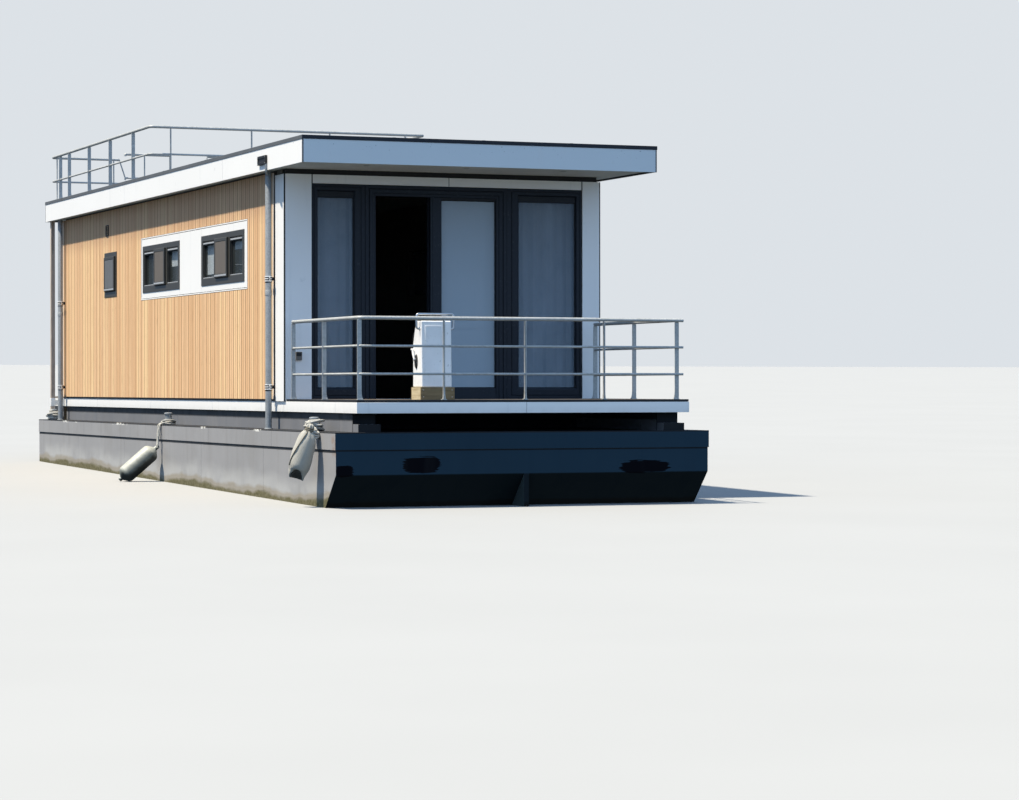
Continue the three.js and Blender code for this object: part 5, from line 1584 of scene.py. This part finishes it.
def make_dash():
    """The black panel under the wheel, with three dials, four buttons and the key's barrel."""
    down = Vector((0, math.sin(DASH_TILT), -math.cos(DASH_TILT)))
    origin = Vector((WHEEL_X, CONSOLE_REAR - DASH_LEAN, CONSOLE_TOP))

    def at(u, v, d):
        return origin + Vector((u, 0, 0)) - down * v + WHEEL_AXIS * d

    dash = Form()
    rim = [(0, -0.002), (0, 0.003), (0.005, 0.005), (0.006, 0.002), (0.006, -0.002)]
    dash.frame(at, (-0.155, -0.25, 0.155, -0.02), rim)
    corners = ((-0.15, -0.245), (0.15, -0.245), (0.15, -0.025), (-0.15, -0.025))
    dash.add([at(u, v, 0.002) for u, v in corners], [(0, 1, 2, 3)])
    for u, v, radius in ((-0.1, -0.062, 0.03), (0.0, -0.055, 0.024), (0.1, -0.062, 0.03)):
        foot, reach = at(u, v, 0.002), radius * 0.7
        bezel = [(radius, 0), (radius, 0.007), (radius * 0.9, 0.009), (radius * 0.86, 0.006)]
        dash.lathe(bezel, foot, WHEEL_AXIS, 28, 1)
        dash.lathe([(radius * 0.87, 0), (radius * 0.87, 0.0055), (0.0005, 0.0055)], foot, WHEEL_AXIS, 28, 2)
        for k in range(11):
            angle = math.radians(-40 + k * 26)
            spot = at(u + math.cos(angle) * reach, v + math.sin(angle) * reach, 0.0075)
            dash.lathe([(0.0011, 0), (0.0011, 0.0006)], spot, WHEEL_AXIS, 6, 3)
        dash.box(at(u - 0.0008, v, 0.0078), at(u + 0.0008, v + radius * 0.62, 0.0084), 3)
    for k in range(4):
        button = [(0.007, 0), (0.007, 0.006), (0.005, 0.008)]
        dash.lathe(button, at(-0.12 + k * 0.022, -0.215, 0.002), WHEEL_AXIS, 16, 1)
    barrel = [(0.012, 0), (0.012, 0.004), (0.009, 0.006), (0.009, 0.01), (0.007, 0.011)]
    dash.lathe(barrel, at(0.11, -0.215, 0.002), WHEEL_AXIS, 20, 1)
    piece("console_dash", dash, [black, stainless, dial, white], "black_plastic", smooth=30)


def make_throttle():
    x, y, z = CONSOLE_LEFT, aft(0.52), up(1.62)
    lever = Form()
    oval = [(c * 0.042, s * 0.08) for c, s in circle(24)]
    steps = ((-0.004, 1.0), (0.006, 1.0), (0.012, 0.9), (0.014, 0.7))
    lever.loft([[(x - d, y + u * share, z + v * share) for u, v in oval] for d, share in steps])
    hub = [(0.02, 0), (0.02, 0.012), (0.015, 0.016)]
    lever.lathe(hub, (x - 0.012, y + 0.01, z + 0.02), (-1, 0, 0), 20, 1)
    out = x - 0.028
    path = [(x - 0.022, y + 0.01, z + 0.02), (out, y + 0.04, z + 0.07), (out, y + 0.065, z + 0.13)]
    lever.tube(rounded(path, 0.02), [0.008] * 7 + [0.007], 14, 2)
    knob = [(0.005, -0.02), (0.01, -0.016), (0.01, 0.012), (0.005, 0.016)]
    lever.lathe(knob, (out, y + 0.068, z + 0.135), (-1, 0, 0), 16, 2)
    piece("throttle", lever, [black, stainless, gelcoat], "black_plastic", smooth=35)


def make_plinth():
    x0, x1 = CONSOLE_LEFT - 0.015, CONSOLE_RIGHT + 0.025
    y0, y1 = CONSOLE_FRONT - 0.015, CONSOLE_REAR + 0.015
    z0, z1, thick = FLOOR_TOP + GAP, FLOOR_TOP + 0.138, 0.018
    plinth = Form()
    plinth.box((x0, y0, z0), (x1, y0 + thick, z1))
    plinth.box((x0, y1 - thick, z0), (x1, y1, z1))
    # The left board takes the lighter plywood copy: painted light
    plinth.box((x0, y0 + 0.0185, z0), (x0 + thick, y1 - 0.0185, z1), 2)
    plinth.box((x1 - thick, y0 + 0.0185, z0), (x1, y1 - 0.0185, z1))
    plinth.box((x0 + 0.019, y0 + 0.019, z1 - thick), (x1 - 0.019, y1 - 0.019, z1))
    for x in (x0 + 0.03, x1 - 0.03):
        for z in (z0 + 0.03, z1 - 0.03):
            bolt(plinth, (x, y0, z), (0, -1, 0), 0.004, 1)
    piece("console_plinth_boards", plinth, [ply, stainless, ply_lit], "dark_timber",
          replaces=["console_plinth"], bevel=0.0015)


def make_wheel():
    side = Vector(ACROSS)
    rise = WHEEL_AXIS.cross(side).normalized()
    centre = WHEEL_FOOT + WHEEL_AXIS * 0.078

    def at(radius, angle, out=0.0):
        return centre + (side * math.cos(angle) + rise * math.sin(angle)) * radius + WHEEL_AXIS * out

    form = Form()
    turn = [2 * math.pi * k / 72 for k in range(72)]
    grips = [0.0118 + 0.0012 * math.cos(12 * a) for a in turn]
    form.tube([at(0.15, a) for a in turn], grips, 14, loop=True)
    spoke = ((0.02, 0.016, -0.012), (0.05, 0.013, -0.008), (0.1, 0.009, -0.002), (0.148, 0.011, 0.0))
    corners = ((-1, -0.003), (1, -0.003), (1, 0.003), (-1, 0.003))
    for k in range(3):
        angle = math.pi / 2 + k * 2 * math.pi / 3
        form.loft([[at(r, angle + s * w / r, out + d) for s, d in corners] for r, w, out in spoke], 1)
    stem = [(0.03, -0.077), (0.03, -0.03), (0.022, -0.026), (0.022, -0.014)]
    cap = [(0.036, -0.012), (0.036, 0.004), (0.032, 0.009), (0.0, 0.012)]
    form.lathe(stem + cap, centre, WHEEL_AXIS, 30)
    piece("helm_wheel_rim", form, [black, stainless], "black_plastic",
          body="helm_wheel", replaces=["steering_wheel"], smooth=50)


# Fenders and their ropes
def along(top, bottom):
    top, bottom = Vector(top), Vector(bottom)
    return (bottom - top).normalized(), (bottom - top).length


MIDDLE_FENDER = ((-2.305, aft(7.27), up(0.545)), (-2.8, aft(7.32), up(0.115)))
BOW_FENDER = ((-2.37, aft(0.53), up(0.87)), (-2.505, aft(0.61), up(0.32)))
COVER_RADIUS = 0.115
# Outline of the canvas cover: share of its radius, share of its length
COVER = (
    (0.14, -0.11), (0.3, -0.085), (0.36, -0.04), (0.3, 0.0), (0.44, 0.04), (0.62, 0.09), (0.8, 0.15),
    (0.92, 0.23), (0.99, 0.35), (1.03, 0.48), (1.05, 0.6), (1.02, 0.7), (0.97, 0.79), (0.88, 0.87),
    (0.78, 0.94), (0.7, 1.0), (0.62, 1.0), (0.56, 0.93), (0.2, 0.86),
)


def make_middle_fender():
    top, bottom = MIDDLE_FENDER
    way, length = along(top, bottom)
    form = Form()
    neck = [(0.0, 0.0), (0.02, 0.001), (0.026, 0.012), (0.028, 0.024), (0.026, 0.03), (0.032, 0.038)]
    half = neck + [(0.05, 0.05), (0.074, 0.068), (0.098, 0.086), (0.113, 0.11), (0.117, 0.14)]
    form.lathe(half + [(r, length - d) for r, d in reversed(half)], top, way, 36)
    eye = Vector(top) - way * 0.004
    across = way.cross(Vector(AFTWARD)).normalized()
    form.tube([eye + (across * c + way * s) * 0.02 for c, s in circle(24)], 0.008, 10, loop=True)
    piece("fender_vinyl", form, vinyl, "fender_rubber", replaces=["fender_middle"], smooth=60)
    return eye


def cover_share(distance):
    """Radius of the cover at a distance along it, both as shares."""
    i = max(j for j in range(13) if COVER[j][1] <= distance)
    (near, start), (far, end) = COVER[i], COVER[i + 1]
    return near + (far - near) * (distance - start) / (end - start)


def make_bow_fender():
    """A canvas cover over a long fender, twisted shut at the top and open below."""
    top, bottom = BOW_FENDER
    way, length = along(top, bottom)
    top = Vector(top)
    side = way.cross(Vector(UPWARD)).normalized()
    other = way.cross(side)
    camera_side = Vector((-0.4, -0.9, 0.15)).normalized()
    rings = []
    for share, distance in COVER:
        pinch = max(0.0, 1 - distance * 5) * 0.16 + max(0.0, distance - 0.8) * 0.35
        ring = []
        for k in range(48):
            a = 2 * math.pi * k / 48
            crease = 1 + pinch * math.sin(7 * a + 9 * distance)
            crease += 0.025 * math.sin(3 * a + 14 * distance) + 0.012 * math.sin(9 * a - 30 * distance)
            out = side * math.cos(a) + other * math.sin(a)
            torn = max(0.0, distance - 0.8) * max(0.0, out.dot(camera_side))
            reach = COVER_RADIUS * share * crease
            ring.append(top + way * (length * (distance - torn)) + out * reach)
        rings.append(ring)
    form = Form().loft(rings)
    # The cover's open end and inside take dark cloth: painted shade of the hollow
    for face in range(48 * (len(COVER) - 3), len(form.slots)):
        form.slots[face] = 1
    made = piece("fender_cover", form, [canvas, hollow_shade_inside], "fender_canvas",
                 replaces=["fender_bow"], smooth=60)
    wound = Form()
    left = Vector((-0.9, 0.4, 0.0))
    for turn in (1, -1):
        path = []
        for k in range(60):
            t = k / 59
            distance = 0.05 + 0.72 * t
            out = (camera_side * (1 - 0.6 * t) + left * (0.1 + 0.8 * t)) * turn
            out = (out - way * out.dot(way)).normalized()
            reach = COVER_RADIUS * cover_share(distance) * 1.03 + 0.003
            path.append(top + way * (length * distance) + out * reach)
        wound.tube(path, 0.006, 8)
    for k in range(3):
        centre, radius = top + way * (-0.012 + 0.017 * k), 0.042 + 0.002 * k
        ring = [centre + (side * c + other * s) * radius for c, s in circle(28)]
        wound.tube(ring, 0.0095, 8, loop=True)
    piece("fender_lashing", wound, lashing_rope, "fender_canvas", smooth=60)
    return top


def wrap(form, centre, radius, low, high, turns, thick, start=0.0):
    """Turns of rope round an upright post."""
    count = int(turns * 20)
    path = []
    for k in range(count + 1):
        t = k / count
        a = start + 2 * math.pi * turns * t
        path.append(centre + Vector((math.cos(a) * radius, math.sin(a) * radius, low + (high - low) * t)))
    form.tube(path, thick, 8)


def strand(form, points, thick, sway, phase):
    """One rope of a hanging bundle, swaying a little about the way it runs."""
    samples = 26
    guide = rounded(points, 0.03)
    lengths = [0.0]
    for a, b in zip(guide, guide[1:]):
        lengths.append(lengths[-1] + (b - a).length)
    path = []
    for k in range(samples + 1):
        want = lengths[-1] * k / samples
        i = max(j for j in range(len(guide) - 1) if lengths[j] <= want + 1e-9)
        span = max(lengths[i + 1] - lengths[i], 1e-9)
        place = guide[i].lerp(guide[i + 1], min(1.0, (want - lengths[i]) / span))
        ease = math.sin(math.pi * k / samples)
        turn = phase + 9.0 * k / samples
        swing = Vector((-abs(math.cos(turn)) * 0.4, math.sin(turn), 0.25 * math.cos(turn)))
        path.append(place + swing * sway * ease)
    form.tube(path, thick, 8)


def heap(form, centre, radius, loops, thick, seed):
    """Loose turns of rope, each tilted its own way, lying over each other round a bollard's foot."""
    for k in range(loops):
        lean = seed + 2.4 * k
        size = radius * (1 + 0.16 * math.sin(2.1 * k + seed))
        tilt = 0.016 + 0.006 * math.sin(1.3 * k)
        path = []
        for j in range(28):
            a = 2 * math.pi * j / 28
            wide = size * (1 + 0.1 * math.sin(3 * a + k + seed))
            lift = thick + 0.011 * k + tilt * (1 + math.sin(a - lean))
            path.append(centre + Vector((math.cos(a) * wide, math.sin(a) * wide, lift)))
        form.tube(path, thick, 8, loop=True)


def make_ropes(middle_eye, bow_top):
    form = Form()
    bow, middle, stern = (Vector((BOLLARD_X, aft(d), DECK + 0.001)) for d in (1.05, 7.27, 13.95))
    wrap(form, middle, 0.058, 0.012, 0.05, 2.6, 0.011, math.pi)
    heap(form, middle, 0.08, 3, 0.0105, 0.6)
    for shift, phase in ((-0.03, 0.0), (-0.008, 2.1), (0.014, 4.2), (0.036, 1.0)):
        start = middle + Vector((-0.06, shift, 0.025))
        over = Vector((-2.266, aft(7.275) + shift * 1.2, DECK + 0.016))
        near, end = Vector((0.008, shift * 0.7, 0.06)), Vector((0, shift * 0.3, 0.0))
        path = [start, over, over + Vector((-0.012, 0, -0.04)), middle_eye + near, middle_eye + end]
        strand(form, path, 0.0095, 0.014, phase)
    wrap(form, bow, 0.06, 0.012, 0.13, 4.6, 0.013, math.pi)
    heap(form, bow, 0.088, 7, 0.0125, 2.2)
    for shift, lift, phase in (
        (-0.05, 0.0, 0.0),
        (-0.022, 0.014, 1.4),
        (0.006, 0.004, 2.9),
        (0.034, 0.016, 4.4),
        (0.055, 0.003, 5.4),
    ):
        start = bow + Vector((-0.075, -0.05, 0.06 + lift))
        over = Vector((-2.268, aft(0.62) + shift, DECK + 0.018 + lift))
        end = bow_top + Vector((0.0, shift * 0.5, -0.03))
        strand(form, [start, over, over + Vector((-0.04, 0, -0.004)), end], 0.0115, 0.012, phase)
    for k in range(3):
        centre = Vector((-2.31, aft(0.56), DECK - 0.004 - 0.026 * k))
        turn = []
        for j in range(24):
            a = 2 * math.pi * j / 24
            sag = 0.012 * math.sin(2 * a + k)
            turn.append(centre + Vector((0.05 * math.cos(a), 0.062 * math.sin(a), sag)))
        form.tube(turn, 0.012, 8, loop=True)
    wrap(form, stern, 0.061, 0.015, 0.14, 4.6, 0.014, 0.4)
    heap(form, stern, 0.09, 6, 0.0125, 4.0)
    piece("fender_ropes", form, rope, "fender_canvas", smooth=60)


# Outboard motor
PIVOT_Y, PIVOT_Z = 7.855, 1.12
STEM_Y = PIVOT_Y + 0.12
SCREW_Z = PIVOT_Z - 0.805


def make_outboard():
    y0, z0 = PIVOT_Y, PIVOT_Z
    start, board, half, top = 7.2753, y0 - 0.075, 0.15, z0 - 0.03
    form = Form()
    for x in (-half, half - 0.012):
        cheek = [(x, start, z0 - 0.37), (x, board, z0 - 0.26), (x, board, top), (x, start, top)]
        form.prism(cheek, (0.012, 0, 0))
    form.box((-half, start, z0 - 0.042), (half, board, top))
    sole = ((start, -0.37), (board, -0.26), (board, -0.248), (start, -0.358))
    form.prism([(-half, y, z0 + z) for y, z in sole], (2 * half, 0, 0))
    form.box((-half, board - 0.001, z0 - 0.27), (half, board + 0.04, z0 + 0.005))
    form.box((-0.19, start, z0 - 0.4), (0.19, start + 0.01, z0))
    for side in (-1, 1):
        x = side * 0.095
        form.box((x - 0.012, board + 0.039, z0 - 0.21), (x + 0.012, y0 + 0.03, z0 + 0.022))
        form.lathe([(0.02, 0), (0.02, 0.01), (0.012, 0.014)], (side * 0.107, y0, z0), (side, 0, 0), 20)
        for z in (z0 - 0.36, z0 - 0.2, z0 - 0.04):
            bolt(form, (side * 0.172, start + 0.01, z), AFTWARD, 0.009)
        for z in (z0 - 0.2, z0 - 0.06):
            bolt(form, (side * 0.06, board + 0.039, z), AFTWARD, 0.009)
    piece("motor_bracket", form, hull_side, "coaming_paint", replaces=["outboard_bracket"], bevel=0.003)
    swivel = Form()
    swivel.box((-0.07, y0 - 0.005, z0 - 0.27), (0.07, y0 + 0.045, z0 + 0.02))
    swivel.box((-0.04, y0 + 0.04, z0 - 0.25), (0.04, y0 + 0.15, z0 + 0.0195))
    piece("swivel_block", swivel, motor_paint, "motor_paint",
          body="motor_swivel", replaces=["outboard_swivel"], bevel=0.01, segments=3)
    bearing = Form()
    post = [(0.046, -0.26), (0.052, -0.255), (0.052, -0.2), (0.044, -0.19), (0.044, -0.03), (0.052, -0.02)]
    bearing.lathe(post + [(0.052, 0.024), (0.046, 0.029)], (0, STEM_Y, z0), UPWARD, 28)
    pin = [(0.016, 0.082), (0.016, 0.0705), (0.024, 0.07), (0.028, 0.066)]
    bearing.lathe([(r, -d) for r, d in pin] + pin[::-1], (0, y0, z0), ACROSS, 28)
    piece("swivel_bearing", bearing, motor_paint, "motor_paint", body="motor_swivel", smooth=40)


def superellipse(half_x, front, rear, power, count=40):
    """Points of a rounded rectangle in plan."""
    middle, half_y = (front + rear) / 2, (rear - front) / 2

    def bulge(x):
        return math.copysign(abs(x) ** (2 / power), x)

    return [(half_x * bulge(c), middle + half_y * bulge(s)) for c, s in circle(count)]


# Sections of the cowl: height, half width, insets of the front and rear end, roundness
COWL = (
    (0.1, 0.12, 0.05, 0.09, 3.0),
    (0.112, 0.15, 0.03, 0.07, 3.2),
    (0.19, 0.172, 0.006, 0.012, 3.4),
    (0.27, 0.178, 0.002, 0.004, 3.4),
    (0.272, 0.175, 0.006, 0.007, 3.4),
    (0.279, 0.175, 0.006, 0.007, 3.4),
    (0.281, 0.18, 0.0, 0.0, 3.4),
    (0.38, 0.178, 0.008, 0.006, 3.2),
    (0.47, 0.168, 0.03, 0.03, 3.0),
    (0.53, 0.142, 0.07, 0.07, 2.8),
    (0.553, 0.1, 0.12, 0.12, 2.6),
    (0.56, 0.04, 0.18, 0.18, 2.4),
)
# Sections of the leg, above and below its plate: height, half width, front and rear end
UPPER_LEG = (
    (0.112, 0.11, -0.1, 0.22),
    (0.044, 0.095, -0.09, 0.2),
    (0.038, 0.09, -0.088, 0.195),
    (0.036, 0.085, 0.058, 0.195),
    (-0.3, 0.07, 0.058, 0.19),
    (-0.56, 0.06, 0.056, 0.19),
    (-0.612, 0.06, 0.03, 0.2),
)
LOWER_LEG = (
    (-0.625, 0.04, 0.02, 0.17),
    (-0.7, 0.032, 0.02, 0.15),
    (-0.76, 0.034, 0.0, 0.14),
    (-0.8, 0.03, -0.02, 0.13),
)


def make_motor_head():
    front, rear, count = PIVOT_Y - 0.06, PIVOT_Y + 0.43, 40
    form = Form()
    rings = []
    for z, half, ahead, behind, power in COWL:
        plan = superellipse(half, front + ahead, rear - behind, power, count)
        rings.append([(x, y, PIVOT_Z + z) for x, y in plan])
    form.loft(rings)
    for face in range(3 * count, 5 * count):
        form.slots[face] = 1
    for k in range(4):
        z = PIVOT_Z + 0.42 + k * 0.022
        for x in (-0.168, 0.168):
            form.box((x - 0.006, rear - 0.19, z), (x + 0.006, rear - 0.07, z + 0.008), 1)
    piece("motor_cowl", form, [motor_paint, black], "motor_paint",
          body="motor", replaces=["outboard_motor"], smooth=50)
    leg = Form()

    def sections(table, power):
        rings = []
        for z, half, start, end in table:
            plan = superellipse(half, STEM_Y + start, STEM_Y + end, power, 28)
            rings.append([(x, y, PIVOT_Z + z) for x, y in plan])
        return rings

    leg.loft(sections(UPPER_LEG, 2.6))
    half = [(0.04, -0.07), (0.1, 0.06), (0.11, 0.24), (0.09, 0.27)]
    plate = [(-0.04, -0.07)] + half + [(-x, y) for x, y in reversed(half[1:])]
    leg.prism([(x, STEM_Y + y, PIVOT_Z - 0.63) for x, y in plate], (0, 0, 0.012))
    leg.loft(sections(LOWER_LEG, 2.0))
    nose = [(0.0, 0), (0.02, 0.008), (0.036, 0.03), (0.048, 0.08)]
    gearbox = nose + [(0.052, 0.15), (0.052, 0.21), (0.046, 0.262)]
    leg.lathe(gearbox, (0, STEM_Y - 0.09, SCREW_Z), AFTWARD, 32)
    skeg = [(-0.02, -0.82), (0.13, -0.82), (0.13, -0.985), (0.115, -0.998), (0.085, -1.0), (0.03, -0.9)]
    leg.prism([(-0.006, STEM_Y + y, PIVOT_Z + z) for y, z in skeg], (0.012, 0, 0))
    piece("motor_leg", leg, motor_paint, "motor_paint", body="motor", smooth=40)


# Sections of a blade: radius, chord, sweep
BLADE = (
    (0.034, 0.062, 0.0), (0.06, 0.088, 0.004), (0.09, 0.108, 0.01),
    (0.12, 0.108, 0.018), (0.145, 0.08, 0.028), (0.157, 0.04, 0.036),
)


def make_propeller():
    foot = Vector((0, STEM_Y - 0.09 + 0.268, SCREW_Z))
    form = Form()
    hub = [(0.03, 0), (0.042, 0.002), (0.0425, 0.05), (0.038, 0.088), (0.024, 0.096)]
    form.lathe(hub + [(0.02, 0.112), (0.012, 0.116), (0.0, 0.117)], foot, AFTWARD, 36)
    for blade in range(3):
        turn = Matrix.Rotation(blade * 2 * math.pi / 3, 3, "Y")
        sections = []
        for radius, chord, sweep in BLADE:
            pitch = math.atan2(0.055, radius)
            ring = []
            for c, s in circle(16):
                u, t = c * chord / 2 + sweep, s * 0.0034 * (1.25 - radius * 4)
                angle = (u * math.cos(pitch) - t * math.sin(pitch)) / radius
                y = 0.048 + u * math.sin(pitch) + t * math.cos(pitch)
                ring.append(foot + turn @ Vector((math.sin(angle) * radius, y, math.cos(angle) * radius)))
            sections.append(ring)
        form.loft(sections)
    piece("propeller_blades", form, alloy, "propeller_metal",
          body="screw", replaces=["propeller"], smooth=50)


# Light and floor
def make_light():
    """A sky that is brighter above and ahead, a plain backdrop for the camera, and the sun."""
    world = bpy.data.worlds.new("sky")
    bpy.context.scene.world = world
    world.use_nodes = True
    tree = world.node_tree
    tree.nodes.clear()
    link = tree.links.new

    def ramp(value, start, end):
        made = tree.nodes.new("ShaderNodeMapRange")
        made.interpolation_type = "SMOOTHSTEP"
        made.inputs["From Min"].default_value = start
        made.inputs["From Max"].default_value = end
        link(value, made.inputs["Value"])
        return made.outputs["Result"]

    def mixed(share, a, b):
        made = tree.nodes.new("ShaderNodeMix")
        made.data_type = "RGBA"
        link(share, made.inputs["Factor"])
        for value, name in ((a, "A"), (b, "B")):
            if isinstance(value, tuple):
                made.inputs[name].default_value = value
            else:
                link(value, made.inputs[name])
        return made.outputs["Result"]

    coords = tree.nodes.new("ShaderNodeTexCoord")
    apart = tree.nodes.new("ShaderNodeSeparateXYZ")
    link(coords.outputs["Generated"], apart.inputs[0])
    above = ramp(apart.outputs["Z"], -0.12, 0.12)
    ahead = ramp(apart.outputs["Y"], 0.1, -0.9)
    lower = mixed(ahead, (0.10, 0.13, 0.15, 1), (0.22, 0.24, 0.22, 1))
    upper = mixed(ahead, (0.31, 0.45, 0.67, 1), (0.48, 0.74, 1.16, 1))
    soft = tree.nodes.new("ShaderNodeBackground")
    link(mixed(above, lower, upper), soft.inputs["Color"])
    plain = tree.nodes.new("ShaderNodeBackground")
    plain.inputs["Color"].default_value = (0.72, 0.76, 0.8, 1)
    seen = tree.nodes.new("ShaderNodeLightPath")
    pick = tree.nodes.new("ShaderNodeMixShader")
    link(seen.outputs["Is Camera Ray"], pick.inputs["Fac"])
    link(soft.outputs[0], pick.inputs[1])
    link(plain.outputs[0], pick.inputs[2])
    out = tree.nodes.new("ShaderNodeOutputWorld")
    link(pick.outputs[0], out.inputs["Surface"])
    data = bpy.data.lights.new("sun", "SUN")
    data.energy = 7.3
    data.color = (1.0, 0.895, 0.74)
    data.angle = math.radians(1.6)
    sun = placed("sun", data)
    sun.rotation_euler = Vector((-1, 0.1, 2.1)).to_track_quat("Z", "Y").to_euler()


def make_floor():
    ends = (-300, 300)
    points = [(x, y, DRAUGHT + (y + HALF_LENGTH) * WATER_SLOPE) for y in ends for x in ends]
    mesh = Form().add(points, [(0, 1, 3, 2)]).mesh("floor_plane")
    finish = Finish("floor", (158, 160, 160), 0.9)
    finish.vary(finish.noise(0.3), 0.015)
    mesh.materials.append(finish.material)
    floor = placed("floor_plane", mesh)
    floor.visible_diffuse = False
    floor.visible_glossy = False


def build():
    make_camera()
    bpy.context.scene.view_settings.view_transform = "Standard"
    make_hull()
    make_bollards()
    make_coaming()
    # The floor frame under the terrace in blue-black: painted shade
    dress("floor", under_terrace_shade)
    make_deck_band()
    make_decking()
    make_terrace_railing()
    make_roof_railing()
    make_side_walls()
    make_rear_wall()
    make_window_panels()
    for name, (start, end) in WINDOWS.items():
        make_window(name, start, end)
        for side in ("left", "right"):
            dress(f"window_glass_{side}_{name}", side_pane)
    make_wall_fittings()
    make_front_surround()
    make_side_light("left", -1.68, -1.009, -1.6, -1.15)
    make_side_light("right", 0.793, 1.78, 0.954, 1.7)
    make_door_frame()
    make_door_leaf()
    for node in ("side_glass_left", "side_glass_right", "door_leaf_glass"):
        dress(node, front_pane)
    dress("door_fixed_glass", door_pane)
    make_blinds(-1, LEFT_BLINDS, pale_blind, 0.071, 0.092)
    make_blinds(1, RIGHT_BLINDS, dark_blind, 0.085, 0.03)
    make_rear_door()
    make_curtain_track()
    make_curtain("left", -1.65, -1.04, 5, 1)
    make_curtain("door", -0.02, 0.74, 6, 2)
    make_curtain("right", 0.87, 1.76, 7, 3)
    make_fascia()
    make_roof()
    make_roof_trim()
    make_ladder()
    make_porch()
    make_downpipe("front", 2.975)
    make_downpipe("rear", 13.76)
    make_outlet_box()
    make_console()
    make_dash()
    make_throttle()
    make_plinth()
    make_wheel()
    eye = make_middle_fender()
    top = make_bow_fender()
    make_ropes(eye, top)
    make_outboard()
    make_motor_head()
    make_propeller()
    make_light()
    make_floor()


build()
